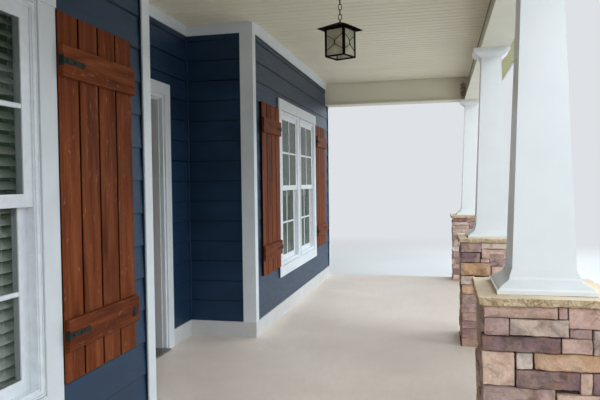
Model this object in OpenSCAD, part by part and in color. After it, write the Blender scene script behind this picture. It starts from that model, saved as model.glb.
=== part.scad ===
// Front porch of a timber-framed house: slab floor, stone piers with tapered
// columns, boxed beams, boarded ceiling, a recessed entry with its door, and a
// twin sash window with shutters on each side of it.
// X runs along the house wall and is 0 on the door's centre line.
// Y is 0 on the face of the house wall and grows into the house.
// Z is 0 at grade, under the slab. Lengths are millimetres.

/* [House wall] */
// Width of the recess that holds the front door
alcove_w = 1956; // [1750:1:2400]
// Depth of that recess
alcove_d = 610; // [400:10:900]
// Length of the wall on each side of the recess
wing_w = 3673; // [3500:1:4500]
// Thickness of the house walls
wall_t = 130; // [110:5:200]
// Height of the ceiling above the floor
ceiling_h = 2770; // [2650:10:3000]
// Width of the white corner boards
corner_w = 62; // [50:1:140]
// Width of the corner boards' leaves inside the recess
corner_in_w = 96; // [60:2:140]
// Height of the frieze board under the ceiling
frieze_h = 96; // [70:2:140]
// Height of the baseboard
base_board_h = 135; // [90:5:200]
// Thickness of the flat white trim
trim_t = 22; // [16:1:30]
// Open joint between two trim boards
board_joint = 0.4; // [0.2:0.1:0.8]

/* [Floor] */
// Thickness of the slab
floor_t = 150; // [100:10:300]
// Distance of the slab's front edge from the house wall
floor_front = 2210; // [2100:10:2280]

/* [Columns] */
// Spacing of the two columns beside the entry
entry_bay = 2530; // [2000:10:3000]
// Distance of the end columns from the end of the wall
end_inset = 110; // [100:5:300]
// Distance of the column line from the house wall
column_out = 2020; // [1960:5:2200]
// Width of the stone piers
pier_w = 520; // [440:10:640]
// Height of the stone piers above the floor
pier_h = 855; // [600:5:1000]
// Width of the stone caps
cap_w = 556; // [530:2:700]
// Thickness of the stone caps
cap_t = 34; // [25:1:60]
// Width of the column bases
base_w = 390; // [340:5:440]
// Height of the column bases
base_h = 95; // [70:5:140]
// Width of a column at its foot
shaft_foot_w = 254; // [220:2:300]
// Width of a column at its neck
shaft_neck_w = 156; // [120:2:200]
// Width of the capitals
capital_w = 284; // [240:2:330]
// Height of the capitals
capital_h = 99; // [80:1:140]

/* [Beams] */
// Width of the board under the front beam
beam_board_w = 230; // [180:5:280]
// Clear height under the beams
beam_clear = 2454; // [2350:2:2550]
// How far that board's middle stands outside the column line
beam_shift = 30; // [0:1:40]
// How far the board stands past the front beam's inner face
beam_lip = 65; // [10:1:75]
// How far the board stands past the front beam's outer face
beam_lip_out = 12; // [4:1:25]
// Width of the side beams
header_w = 220; // [150:5:260]
// How far the board under a side beam stands past its inner face
header_lip = 25; // [4:1:45]
// Thickness of the board under a beam
beam_board_t = 19; // [12:1:30]

/* [Roof] */
// Slope of the roof in degrees
roof_pitch = 14; // [8:1:25]
// Width of the eave outside the front beam
eave_out = 305; // [200:5:450]
// How far the roof stands past each end of the wall
rake_out = 150; // [80:10:300]
// Thickness of the roof deck and its shingles
deck_t = 45; // [30:1:80]
// Height of the fascia board
fascia_h = 150; // [120:5:220]
// Thickness of the ceiling and soffit boards
ceiling_t = 16; // [10:1:25]
// Height of the house wall that shows over the roof
upper_wall_h = 160; // [100:10:400]

/* [Windows] */
// Distance of a window's centre from the corner of the recess
window_in = 1748; // [1700:1:1900]
// Width of one window of a pair, frame included
unit_w = 765; // [600:5:800]
// Width of the post between a pair
mullion_w = 90; // [60:5:140]
// Height of the windows, frame included
unit_h = 1610; // [1200:10:1700]
// Height of the underside of the windows above the floor
window_z = 500; // [420:5:700]
// Width of the window casing
casing_w = 110; // [80:1:130]
// Height of the head casing
head_h = 107; // [80:1:150]
// Height of the foot casing
foot_h = 105; // [80:1:150]
// How far the sloping sill stands out of the wall
sill_out = 26; // [22:1:60]
// Depth of a window frame
frame_depth = 82; // [70:1:110]
// Width of a window frame's face
frame_face = 38; // [20:1:50]
// Width of a sash's stiles and rails
sash_face = 52; // [25:1:60]
// Thickness of a sash
sash_t = 30; // [20:1:34]
// Thickness of the window glass
pane_t = 18; // [6:1:20]

/* [Shutters] */
// Width of a shutter
shutter_w = 612; // [500:2:640]
// Height of a shutter
shutter_h = 1600; // [1200:10:1700]
// Height of a shutter's foot above the floor
shutter_z = 506; // [450:2:700]
// Gap between a shutter and its window casing
shutter_gap = 3; // [3:1:15]
// Distance of a shutter's back from the house wall
shutter_off = 10; // [6:1:20]
// Gap between two shutter boards
board_gap = 13; // [6:1:20]
// Thickness of a shutter board
board_t = 19; // [15:1:28]
// Height of a batten
batten_h = 136; // [90:2:180]
// Thickness of a batten
batten_t = 21; // [15:1:28]
// Height of the lower batten's foot above the shutter's foot
batten_low = 142; // [80:2:300]
// Distance from the upper batten's head to the shutter's head
batten_high = 144; // [80:2:300]
// How far a batten stops short of the boards beside the window
batten_in = 6; // [5:1:20]
// How far a batten stands past the boards at its other end
batten_ear = 5; // [0:1:8]
// Length of the iron straps
strap_len = 166; // [100:2:200]
// Width of the iron straps
strap_w = 28; // [20:1:50]
// Height of the strap's plate on a batten's end
strap_end_h = 44; // [30:1:60]
// Thickness of the iron straps
strap_t = 4; // [3:1:6]

/* [Front door] */
// Width of the door leaf
leaf_w = 914; // [762:2:914]
// Height of the door leaf
leaf_h = 2032; // [1980:2:2060]
// Thickness of the door leaf
leaf_t = 44; // [36:1:50]
// Gap beside and over the leaf
leaf_gap = 7; // [6:0.5:10]
// Gap under the leaf
leaf_foot_gap = 6; // [5:0.5:10]
// Thickness of the door jambs
jamb_t = 20; // [15:1:30]
// Height of the threshold
threshold_h = 14; // [10:1:40]
// Width of the flat of the door casing
door_casing_w = 100; // [80:1:130]
// Height of the flat of the door's head casing
door_head_h = 96; // [80:1:130]
// Width of the lower step inside the casing
door_bead_w = 28; // [15:1:40]
// Thickness of that step
door_bead_t = 10; // [6:1:16]
// Width of the door's stiles
stile_w = 118; // [90:1:150]
// Height of the middle rail's top above the leaf's foot
rail_top = 1010; // [800:5:1100]
// Height of the door's middle and bottom rails
rail_h = 190; // [150:5:260]
// Depth of the sinking around the door's lower panels
panel_sink = 9; // [5:1:12]
// Width of the sloping border of a lower panel
panel_slope = 38; // [20:1:60]

/* [Lantern] */
// Distance of the lantern from the house wall
lantern_out = 945; // [800:5:1100]
// Height of the lantern's foot above the floor
lantern_z = 2205; // [2100:5:2300]
// Width of the lantern's glazed box
lantern_w = 151; // [110:1:200]
// Height of the lantern's glazed box
lantern_h = 188; // [140:1:240]
// Width of the lantern's roof
lantern_roof_w = 230; // [200:2:300]
// Height of the lantern's roof
lantern_roof_h = 50; // [40:1:80]
// Turn of the lantern on its chain in degrees, clockwise from above
lantern_turn = 22; // [0:1:45]
// Width of a lantern post
post_w = 9; // [6:1:14]
// Thickness of the lantern's roof
lantern_sheet = 2; // [1.5:0.5:3]
// Thickness of the bowed straps on the lantern's sides
bow_t = 3; // [2:0.5:5]
// Length of a chain link, outside
link_len = 44; // [40:1:50]
// Width of a chain link, outside
link_w = 27; // [22:1:32]
// Diameter of the chain's wire
wire_d = 5; // [3:0.5:6]
// Number of chain links
link_count = 7; // [3:1:7]
// Play between two links
link_play = 0.3; // [0.2:0.1:0.8]

/* [Hidden] */
$fn = 32;

SIDES = [-1, 1];
wall_end = alcove_w / 2 + wing_w;
floor_z = floor_t;
ceiling_z = floor_z + ceiling_h;
wall_top = ceiling_z + ceiling_t;
beam_z = floor_z + beam_clear;
board_in = -column_out - beam_shift + beam_board_w / 2;
board_far = board_in - beam_board_w;
beam_in = board_in - beam_lip;
beam_far = board_far + beam_lip_out;
eave_y = beam_far - eave_out;
column_x = [-wall_end + end_inset, -entry_bay / 2, entry_bay / 2, wall_end - end_inset];
pier_top = floor_z + pier_h;
base_z = pier_top + cap_t;
neck_z = beam_z - capital_h;

// The roof's underside rises from the fascia's head to the house wall
fascia_t = 20;
fascia_drop = 20;
fascia_z = ceiling_z - fascia_drop;
fascia_top = fascia_z + fascia_h;
function deck_under(y) = fascia_top + (y - eave_y + fascia_t) * tan(roof_pitch);
roof_end_t = 60;
roof_play = 0.4;

unit_gap_x = mullion_w / 2 + unit_w / 2;
pair_w = 2 * unit_w + mullion_w;
window_x = alcove_w / 2 + window_in;
window_foot = floor_z + window_z;
window_head = window_foot + unit_h;
shutter_x = pair_w / 2 + casing_w + shutter_gap + shutter_w / 2;
shutter_foot = floor_z + shutter_z;

jamb_face = leaf_w / 2 + leaf_gap;
jamb_back = jamb_face + jamb_t;
leaf_foot = floor_z + threshold_h + leaf_foot_gap;
head_face = leaf_foot + leaf_h + leaf_gap;
head_back = head_face + jamb_t;
leaf_back = alcove_d + wall_t;
leaf_front = leaf_back - leaf_t;
hinge_r = 7;
hinge_x = leaf_w / 2 + 3;
hinge_y = leaf_back + hinge_r;

lantern_top = floor_z + lantern_z + lantern_h + lantern_roof_h;

// A block between two opposite corners
module block(lo, hi) {
  translate(lo) cube(hi - lo);
}

// The same thing on the left side of the door as its children on the right
module on_side(side) {
  if (side < 0) mirror([1, 0, 0]) children();
  else children();
}

module square_block(w, h) {
  translate([-w / 2, -w / 2, 0]) cube([w, w, h]);
}

// A long bar along Y whose cross-section is the profile and its mirror image
module profile_bar(profile, length) {
  n = len(profile);
  rotate([90, 0, 0]) linear_extrude(length, center = true)
    polygon(concat(profile, [for (i = [n - 1:-1:0]) [-profile[i][0], profile[i][1]]]));
}

// A square moulding with mitred corners, from a profile of [half width, height]
// points: where two bars with that profile cross, they share just this shape
module mitred(profile) {
  length = 2 * max([for (p = profile) p[0]]) + 2;
  intersection() {
    profile_bar(profile, length);
    rotate([0, 0, 90]) profile_bar(profile, length);
  }
}

// Points of an S-curve that leaves one point upright and reaches the other upright
function ogee(a, b, steps) = [for (i = [0:steps]) let (t = i / steps)
  [a[0] + (b[0] - a[0]) * (1 - cos(180 * t)) / 2, a[1] + (b[1] - a[1]) * t]];

module at_column(i) {
  translate([column_x[i], -column_out, 0]) children();
}

module at_columns() {
  for (i = [0:3]) at_column(i) children();
}

module floor_slab() {
  color("lightgray") difference() {
    union() {
      block([-wall_end, -floor_front, 0], [wall_end, wall_t, floor_z]);
      block([-alcove_w / 2 - wall_t, 0, 0], [alcove_w / 2 + wall_t, leaf_back, floor_z]);
    }
    at_columns() translate([0, 0, -1]) square_block(pier_w, floor_z + 2);
  }
}

module piers() {
  color("rosybrown") at_columns() square_block(pier_w, pier_top);
}

module pier_caps() {
  color("burlywood") at_columns() translate([0, 0, pier_top]) square_block(cap_w, cap_t);
}

plinth_h = 16;
base_fillet = 7;
base_ring_h = 11;
base_ring = 4;

// A thin plinth board, a crown moulding that leans in and three small steps to the shaft
module column_bases() {
  foot = shaft_foot_w / 2;
  color("white") at_columns() translate([0, 0, base_z])
    mitred(concat([[base_w / 2, 0], [base_w / 2, plinth_h]],
      ogee([base_w / 2 - base_fillet, plinth_h],
        [foot + 3 * base_ring, base_h - 3 * base_ring_h], 8),
      [for (i = [2:-1:0]) each [[foot + (i + 1) * base_ring, base_h - i * base_ring_h],
        [foot + max(i, 0.5) * base_ring, base_h - i * base_ring_h]]]));
}

module column_shafts() {
  color("whitesmoke") at_columns() translate([0, 0, base_z + base_h])
    mitred([[shaft_foot_w / 2, 0], [shaft_neck_w / 2, neck_z - base_z - base_h]]);
}

neck_band_h = 14;
neck_band = 2;
neck_bead = 5;
top_plate_h = 28;
top_step_h = 6;
top_step = 6;

// A neck band, a bead, a crown moulding that leans out, a small step and a top plate
module capitals() {
  neck = shaft_neck_w / 2;
  crown_z = capital_h - top_plate_h - top_step_h;
  crown_w = capital_w / 2 - 2 * top_step;
  color("white") at_columns() translate([0, 0, neck_z])
    mitred(concat([[neck + neck_band, 0], [neck + neck_band, neck_band_h],
        [neck + neck_bead, neck_band_h], [neck + neck_bead, neck_band_h + neck_bead]],
      ogee([neck + neck_bead, neck_band_h + neck_bead], [crown_w, crown_z], 8),
      [[capital_w / 2 - top_step, crown_z],
        [capital_w / 2 - top_step, capital_h - top_plate_h],
        [capital_w / 2, capital_h - top_plate_h], [capital_w / 2, capital_h]]));
}

module front_beam() {
  color("white") {
    block([-wall_end, beam_far, beam_z + beam_board_t], [wall_end, beam_in, wall_top]);
    block([-wall_end, board_far, beam_z], [wall_end, board_in, beam_z + beam_board_t]);
  }
}

// A side beam from the front beam to the house wall
module header(side) {
  color("white") on_side(side) {
    block([wall_end - header_w, beam_in, beam_z + beam_board_t], [wall_end, 0, wall_top]);
    block([wall_end - header_w - header_lip, board_in, beam_z],
      [wall_end, 0, beam_z + beam_board_t]);
  }
}

module ceiling() {
  color("beige") block([-wall_end + header_w, beam_in, ceiling_z],
    [wall_end - header_w, 0, wall_top]);
}

module alcove_ceiling() {
  color("beige") block([-alcove_w / 2, 0, ceiling_z], [alcove_w / 2, alcove_d, wall_top]);
}

module eave_soffit() {
  color("beige") block([-wall_end - rake_out, eave_y, ceiling_z],
    [wall_end + rake_out, beam_far, wall_top]);
}

module fascia() {
  color("white") block([-wall_end - rake_out, eave_y - fascia_t, fascia_z],
    [wall_end + rake_out, eave_y, fascia_top]);
}

module roof_deck() {
  color("dimgray") translate([-wall_end - rake_out, 0, 0])
    rotate([90, 0, 90]) linear_extrude(2 * (wall_end + rake_out))
      polygon([[eave_y - fascia_t, deck_under(eave_y - fascia_t)], [0, deck_under(0)],
        [0, deck_under(0) + deck_t], [eave_y - fascia_t, deck_under(eave_y - fascia_t) + deck_t]]);
}

module roof_ends() {
  color("white") for (side = SIDES) on_side(side) translate([wall_end - roof_end_t, 0, 0])
    rotate([90, 0, 90]) linear_extrude(roof_end_t)
      polygon([[eave_y, wall_top], [0, wall_top], [0, deck_under(0) - roof_play],
        [eave_y, deck_under(eave_y) - roof_play]]);
}

module wing_wall(side) {
  color("slategray") on_side(side) difference() {
    block([alcove_w / 2, 0, floor_z], [wall_end, wall_t, wall_top]);
    block([window_x - pair_w / 2, -1, window_foot],
      [window_x + pair_w / 2, wall_t + 1, window_head]);
  }
}

module alcove_walls() {
  color("slategray") for (side = SIDES) on_side(side)
    block([alcove_w / 2, wall_t, floor_z], [alcove_w / 2 + wall_t, leaf_back, wall_top]);
}

module door_side_walls() {
  color("slategray") for (side = SIDES) on_side(side)
    block([jamb_back, alcove_d, floor_z], [alcove_w / 2, leaf_back, wall_top]);
}

module over_door_wall() {
  color("slategray") block([-jamb_back, alcove_d, head_back], [jamb_back, leaf_back, wall_top]);
}

module upper_wall() {
  color("slategray") block([-wall_end, 0, wall_top],
    [wall_end, wall_t, deck_under(0) + deck_t + upper_wall_h]);
}

frieze_z = ceiling_z - frieze_h;
base_board_top = floor_z + base_board_h;

// Boards of one height along the front of each wall and around the recess, butted at
// the corners. Those at the back of the recess stop at the given distance from its middle
module wall_boards(z0, z1, front_end, back_start) {
  corner = alcove_w / 2;
  for (side = SIDES) on_side(side) {
    block([corner - trim_t, -trim_t, z0], [front_end, 0, z1]);
    block([corner - trim_t, board_joint, z0], [corner, alcove_d, z1]);
  }
  back_end = corner - trim_t - board_joint;
  if (back_start > 0) {
    for (side = SIDES) on_side(side)
      block([back_start, alcove_d - trim_t, z0], [back_end, alcove_d, z1]);
  } else {
    block([-back_end, alcove_d - trim_t, z0], [back_end, alcove_d, z1]);
  }
}

// Corner boards wrap the two outer corners of the recess and close the wall's ends
module corner_boards() {
  corner = alcove_w / 2;
  color("white") for (side = SIDES) on_side(side) {
    block([corner - trim_t, -trim_t, base_board_top], [corner + corner_w, 0, frieze_z]);
    block([corner - trim_t, board_joint, base_board_top], [corner, corner_in_w, frieze_z]);
    block([wall_end - corner_w, -trim_t, base_board_top], [wall_end, 0, beam_z]);
  }
}

module frieze_boards() {
  color("white") wall_boards(frieze_z, ceiling_z, wall_end - header_w, 0);
}

reveal = 2;
bead_in = jamb_face + reveal;
casing_in = bead_in + door_bead_w;
casing_out = casing_in + door_casing_w;

module baseboards() {
  color("white") wall_boards(floor_z, base_board_top, wall_end, casing_out);
}

head_step = 6;
sill_t = 18;
sill_slope = 3;

// Flat casing with a thicker head around a pair of windows. The side boards run down past
// the windows, and a thin sloping sill and the foot board stand between them
module window_casing(side) {
  half = pair_w / 2;
  outer = half + casing_w;
  foot = window_foot - foot_h;
  sill_foot = window_foot - sill_t;
  color("white") on_side(side) translate([window_x, 0, 0]) {
    for (s = SIDES) on_side(s)
      block([half, -trim_t, foot], [outer, 0, window_head - board_joint]);
    block([-outer, -trim_t - head_step, window_head], [outer, 0, window_head + head_h]);
    translate([-half + board_joint, 0, 0]) rotate([90, 0, 90])
      linear_extrude(2 * (half - board_joint))
        polygon([[0, sill_foot], [-sill_out, sill_foot], [-sill_out, window_foot - sill_slope],
          [-trim_t + head_step, window_foot], [0, window_foot]]);
    block([-half + board_joint, -trim_t, foot], [half - board_joint, 0, sill_foot - board_joint]);
  }
}

sash_h = unit_h / 2 - frame_face + sash_face / 2;
sash_w = unit_w - 2 * frame_face;
frame_front = -10;
upper_y = frame_front + 6;
lower_y = upper_y + sash_t + 2;

// A rectangular ring lying in the XZ plane, centred on x = 0
module ring_frame(w, h, face, y0, y1, z) {
  translate([0, y1, z]) rotate([90, 0, 0]) linear_extrude(y1 - y0) difference() {
    translate([-w / 2, 0]) square([w, h]);
    translate([-w / 2 + face, face]) square([w - 2 * face, h - 2 * face]);
  }
}

module window_frame(side) {
  color("white") on_side(side) translate([window_x, 0, 0]) {
    block([-mullion_w / 2, frame_front, window_foot],
      [mullion_w / 2, frame_front + frame_depth, window_head]);
    for (s = SIDES) translate([s * unit_gap_x, 0, 0]) {
      ring_frame(unit_w, unit_h, frame_face, frame_front, frame_front + frame_depth, window_foot);
      ring_frame(sash_w, sash_h, sash_face, upper_y, upper_y + sash_t,
        window_head - frame_face - sash_h);
      ring_frame(sash_w, sash_h, sash_face, lower_y, lower_y + sash_t, window_foot + frame_face);
      block([-sash_w / 2, upper_y, window_foot + unit_h / 2 - 8],
        [sash_w / 2, lower_y + sash_t, window_foot + unit_h / 2 + 8]);
    }
  }
}

pane_w = sash_w - 2 * sash_face;
pane_h = sash_h - 2 * sash_face;

// A pane in the middle of a sash's thickness, with its foot at z
module pane(sash_y, z) {
  y = sash_y + (sash_t - pane_t) / 2;
  block([-pane_w / 2, y, z], [pane_w / 2, y + pane_t, z + pane_h]);
}

module window_glass() {
  color("lightblue", 0.5) for (side = SIDES) on_side(side) for (s = SIDES)
    translate([window_x + s * unit_gap_x, 0, 0]) {
      pane(upper_y, window_head - frame_face - sash_face - pane_h);
      pane(lower_y, window_foot + frame_face + sash_face);
    }
}

blind_t = 50;
blind_y = frame_front + frame_depth + 4;

module window_blinds() {
  color("white") for (side = SIDES) on_side(side) for (s = SIDES)
    translate([window_x + s * unit_gap_x, 0, 0])
      block([-unit_w / 2 + 6, blind_y, window_foot + 20],
        [unit_w / 2 - 6, blind_y + blind_t, window_head]);
}

board_w = (shutter_w - 3 * board_gap) / 4;
batten_z = [batten_low, shutter_h - batten_high - batten_h];

board_front = -shutter_off - board_t;
batten_front = board_front - batten_t;
spacer_r = 9;

// Puts its children at a shutter's foot, with the window on the side of -X
module at_shutter(side, s) {
  on_side(side) translate([window_x + s * shutter_x, 0, shutter_foot]) on_side(s) children();
}

// Four upright boards held by two battens, on four short round spacers
module shutter(side, s) {
  color("sienna") at_shutter(side, s) {
    for (i = [0:3]) {
      x = -shutter_w / 2 + i * (board_w + board_gap);
      block([x, board_front, 0], [x + board_w, -shutter_off, shutter_h]);
    }
    for (z = batten_z) {
      block([-shutter_w / 2 + batten_in, batten_front, z],
        [shutter_w / 2 + batten_ear, board_front, z + batten_h]);
      for (side = SIDES) translate([side * (shutter_w - board_w) / 2, 0, z + batten_h / 2])
        rotate([90, 0, 0]) cylinder(r = spacer_r, h = shutter_off);
    }
  }
}

tip_len = 30;
tip_neck = 0.7;

// An iron strap that tapers to a spade-shaped tip, with a plate around the batten's end
module strap() {
  neck = strap_len - tip_len;
  half = strap_w / 2;
  translate([0, batten_front, 0]) rotate([90, 0, 0]) linear_extrude(strap_t)
    polygon([[-strap_t, -half], [neck, -half * tip_neck], [neck + tip_len / 3, -half],
      [strap_len, 0], [neck + tip_len / 3, half], [neck, half * tip_neck], [-strap_t, half]]);
  block([-strap_t, batten_front - strap_t, -strap_end_h / 2], [0, board_front, strap_end_h / 2]);
}

module shutter_straps() {
  color("black") for (side = SIDES) for (s = SIDES) at_shutter(side, s) for (z = batten_z)
    translate([-shutter_w / 2 + batten_in, 0, z + batten_h / 2]) strap();
}

casing_head = head_face + reveal + door_bead_w;

// A flat board with a lower step along its inner edge, on three sides of the door
module door_casing() {
  side_head = casing_head - board_joint;
  color("white") {
    for (side = SIDES) on_side(side) {
      block([casing_in, alcove_d - trim_t, floor_z], [casing_out, alcove_d, side_head]);
      block([bead_in, alcove_d - door_bead_t, floor_z], [casing_in, alcove_d, side_head]);
    }
    block([-casing_out, alcove_d - trim_t, casing_head],
      [casing_out, alcove_d, casing_head + door_head_h]);
    block([-bead_in + board_joint, alcove_d - door_bead_t, head_face + reveal],
      [bead_in - board_joint, alcove_d, casing_head]);
  }
}

stop_t = 12;
stop_front = alcove_d + 20;
stop_gap = 5;

// Three butt hinges: the leaf has the middle knuckle of each, and the frame has the
// outer two and the pin
hinge_z = [for (z = [180, leaf_h / 2, leaf_h - 180]) leaf_foot + z];
knuckle_h = 32;
knuckle_gap = 0.3;
plate_t = 3;
plate_w = 30;
pin_r = 3;
pin_play = 0.05;

// The frame's two knuckles, their plates on the jamb and the pin through all three
module frame_hinge() {
  for (s = SIDES) translate([0, 0, s * (knuckle_h + knuckle_gap)]) {
    translate([hinge_x, hinge_y, 0]) cylinder(r = hinge_r, h = knuckle_h, center = true);
    block([hinge_x, leaf_back, -knuckle_h / 2],
      [jamb_face + plate_w, leaf_back + plate_t, knuckle_h / 2]);
  }
  translate([hinge_x, hinge_y, 0]) cylinder(r = pin_r, h = 2 * knuckle_h, center = true);
}

// The leaf's knuckle with the bore for the pin, and its plate on the leaf
module leaf_hinge() {
  difference() {
    union() {
      translate([hinge_x, hinge_y, 0]) cylinder(r = hinge_r, h = knuckle_h, center = true);
      block([leaf_w / 2 - plate_w, leaf_back, -knuckle_h / 2],
        [hinge_x, leaf_back + plate_t, knuckle_h / 2]);
    }
    translate([hinge_x, hinge_y, 0])
      cylinder(r = pin_r + pin_play, h = knuckle_h + 2, center = true);
  }
}

module door_frame() {
  color("white") {
    for (side = SIDES) on_side(side) {
      block([jamb_face, alcove_d, floor_z], [jamb_back, leaf_back, head_back]);
      block([jamb_face - stop_t, stop_front, floor_z + threshold_h],
        [jamb_face, leaf_front - stop_gap, head_face]);
    }
    block([-jamb_face, alcove_d, head_face], [jamb_face, leaf_back, head_back]);
    block([-jamb_face, stop_front, head_face - stop_t],
      [jamb_face, leaf_front - stop_gap, head_face]);
    for (z = hinge_z) translate([0, 0, z]) frame_hinge();
  }
}

module threshold() {
  color("gray") block([-jamb_face, alcove_d - trim_t - 30, floor_z],
    [jamb_face, leaf_back, floor_z + threshold_h]);
}

light_foot = leaf_foot + rail_top;
light_head = leaf_foot + leaf_h - stile_w;
light_w = leaf_w - 2 * stile_w;

// Two panels side by side under the middle rail, sunk into both faces of the leaf
panel_w = (light_w - stile_w) / 2;
panel_h = rail_top - 2 * rail_h;
panel_x = (panel_w + stile_w) / 2;

// A sinking with a raised field whose four sides slope, cut from a face at z = 0 down
module panel_cut() {
  field_w = panel_w / 2 - panel_slope;
  field_h = panel_h / 2 - panel_slope;
  difference() {
    translate([-panel_w / 2, -panel_h / 2, -panel_sink]) cube([panel_w, panel_h, panel_sink + 1]);
    intersection() {
      profile_bar([[panel_w / 2, -panel_sink], [field_w, 0]], panel_h);
      rotate([0, 0, 90]) profile_bar([[panel_h / 2, -panel_sink], [field_h, 0]], panel_w);
    }
  }
}

module door_leaf() {
  color("firebrick") {
    difference() {
      block([-leaf_w / 2, leaf_front, leaf_foot], [leaf_w / 2, leaf_back, leaf_foot + leaf_h]);
      block([-light_w / 2, leaf_front - 1, light_foot], [light_w / 2, leaf_back + 1, light_head]);
      for (s = SIDES) translate([s * panel_x, 0, leaf_foot + rail_h + panel_h / 2]) {
        translate([0, leaf_front, 0]) rotate([90, 0, 0]) panel_cut();
        translate([0, leaf_back, 0]) rotate([-90, 0, 0]) panel_cut();
      }
    }
    for (z = hinge_z) translate([0, 0, z]) leaf_hinge();
  }
}

door_pane_t = 14;

module door_glass() {
  y = (leaf_front + leaf_back) / 2;
  color("lightblue", 0.5) block([-light_w / 2, y - door_pane_t / 2, light_foot],
    [light_w / 2, y + door_pane_t / 2, light_head]);
}

handle_x = -leaf_w / 2 + 60;
handle_z = leaf_foot + 930;

module door_handle() {
  color("dimgray") translate([handle_x, 0, handle_z]) {
    translate([0, leaf_front, 0]) rotate([90, 0, 0]) knob();
    translate([0, leaf_back, 0]) rotate([-90, 0, 0]) knob();
  }
}

// A rose, a neck and a round knob, standing up from z = 0
module knob() {
  rotate_extrude($fn = 40) polygon([[0, 0], [32, 0], [32, 5], [24, 9], [11, 11], [10, 24],
    [19, 31], [26, 41], [27, 50], [22, 58], [12, 62], [0, 63]]);
}

// The chain hangs link in link from the loop under the ceiling plate
loop_r = 9;
eye_r = 8;
link_rise = wire_d + link_play;
link_step = link_len - wire_d - link_rise;
eye_z = lantern_top + 4 + eye_r;
eye_wire_z = eye_z + eye_r;
last_wire_z = eye_wire_z - link_rise;
hook_z = last_wire_z + link_count * link_step;

module wire_loop(r) {
  rotate([90, 0, 0]) rotate_extrude() translate([r, 0]) circle(d = wire_d);
}

// The ceiling plate, its stem and the loop that the chain hangs from
module lantern_mount() {
  plate_t = 22;
  stem_foot = hook_z + 2 * loop_r;
  color("black") translate([0, -lantern_out, 0]) {
    translate([0, 0, ceiling_z - plate_t]) cylinder(r = 62, h = plate_t);
    translate([0, 0, stem_foot]) cylinder(d = 12, h = ceiling_z - plate_t - stem_foot);
    translate([0, 0, hook_z + loop_r]) wire_loop(loop_r);
  }
}

// A long link lying in the XZ plane, centred on the origin
module chain_link() {
  half = link_len / 2 - link_w / 2;
  r = link_w / 2 - wire_d / 2;
  for (s = SIDES) {
    translate([0, 0, s * half]) rotate([90, 0, 0])
      rotate([0, 0, s > 0 ? 0 : 180]) rotate_extrude(angle = 180) translate([r, 0]) circle(d = wire_d);
    translate([s * r, 0, 0]) cylinder(d = wire_d, h = 2 * half, center = true);
  }
}

module lantern_chain() {
  first_z = hook_z + link_rise - (link_len - wire_d) / 2;
  color("black") for (i = [0:link_count - 1])
    translate([0, -lantern_out, first_z - i * link_step])
      rotate([0, 0, i % 2 == 0 ? 90 : 0]) chain_link();
}

bow_r = 25;
bow_up = 30;
bow_overlap = 2;

// A strap in the XZ plane that leaves x = 0 at z = 0, leans to x = bulge, turns there on
// an arc and leans back to x = 0 at z = h. Its straight arms are tangents of the arc
module bowed_strap(h, bulge) {
  arc_x = bulge - bow_r;
  reach = norm([arc_x, h / 2]);
  a = 180 - atan2(h / 2, arc_x) - acos(bow_r / reach);
  arm = sqrt(reach * reach - bow_r * bow_r);
  translate([arc_x, bow_t / 2, h / 2]) rotate([90, 0, 0]) {
    rotate([0, 0, -a]) rotate_extrude(angle = 2 * a, $fn = 96)
      translate([bow_r - bow_t, 0]) square(bow_t);
    for (turn = [0, 1]) mirror([0, turn, 0]) rotate([0, 0, -a])
      translate([bow_r - bow_t, -arm, 0]) cube([bow_t, arm, bow_t]);
  }
}

// The lantern's four sides, each with two straps that bow towards each other
module lantern_straps() {
  bay = lantern_w - 2 * post_w;
  h = lantern_h - 2 * post_w;
  for (a = [0, 90, 180, 270]) rotate([0, 0, a]) translate([0, (lantern_w - bow_t) / 2, 0])
    for (side = SIDES) on_side(side) translate([-bay / 2 - 1, 0, bow_up])
      bowed_strap(h - 2 * bow_up, bay / 2 + bow_overlap);
}

roof_cap_w = 16;
roof_edge = lantern_roof_w / 2;
roof_rise = (lantern_roof_h - lantern_sheet) / (roof_edge - roof_cap_w / 2);

// Height of the roof sheet's underside above the eave, at a distance from the middle
function roof_under(x) = (roof_edge - x) * roof_rise - lantern_sheet;

// A pyramid of sheet metal, open below, with a small flat cap
module lantern_roof() {
  difference() {
    mitred([[roof_edge, 0], [roof_edge, lantern_sheet], [roof_cap_w / 2, lantern_roof_h]]);
    mitred([[roof_edge, roof_under(roof_edge)], [roof_cap_w / 2, roof_under(roof_cap_w / 2)]]);
  }
}

module lantern_body() {
  foot = floor_z + lantern_z;
  eave = foot + lantern_h;
  color("black") translate([0, -lantern_out, 0]) rotate([0, 0, -lantern_turn]) {
    for (x = SIDES) for (y = SIDES)
      translate([x * (lantern_w - post_w) / 2, y * (lantern_w - post_w) / 2, foot])
        square_block(post_w, lantern_h + roof_under(lantern_w / 2) + lantern_sheet);
    for (z = [foot, eave - post_w]) translate([0, 0, z]) difference() {
      square_block(lantern_w, post_w);
      translate([0, 0, -1]) square_block(lantern_w - 2 * post_w, post_w + 2);
    }
    translate([0, 0, foot + post_w]) lantern_straps();
    translate([0, 0, eave]) lantern_roof();
    translate([0, 0, lantern_top]) cylinder(d = 12, h = 5);
    translate([0, 0, eye_z]) rotate([0, 0, lantern_turn]) wire_loop(eye_r);
  }
}

lantern_pane_t = 2.5;
lantern_pane_play = 0.3;

module lantern_glass() {
  foot = floor_z + lantern_z + post_w;
  w = lantern_w - 2 * post_w;
  outer = lantern_w / 2 - bow_t - lantern_pane_play;
  color("lightblue", 0.5) translate([0, -lantern_out, 0]) rotate([0, 0, -lantern_turn])
    for (a = [0, 90, 180, 270]) rotate([0, 0, a])
      block([-w / 2, outer - lantern_pane_t, foot],
        [w / 2, outer, foot + lantern_h - 2 * post_w]);
}

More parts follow.
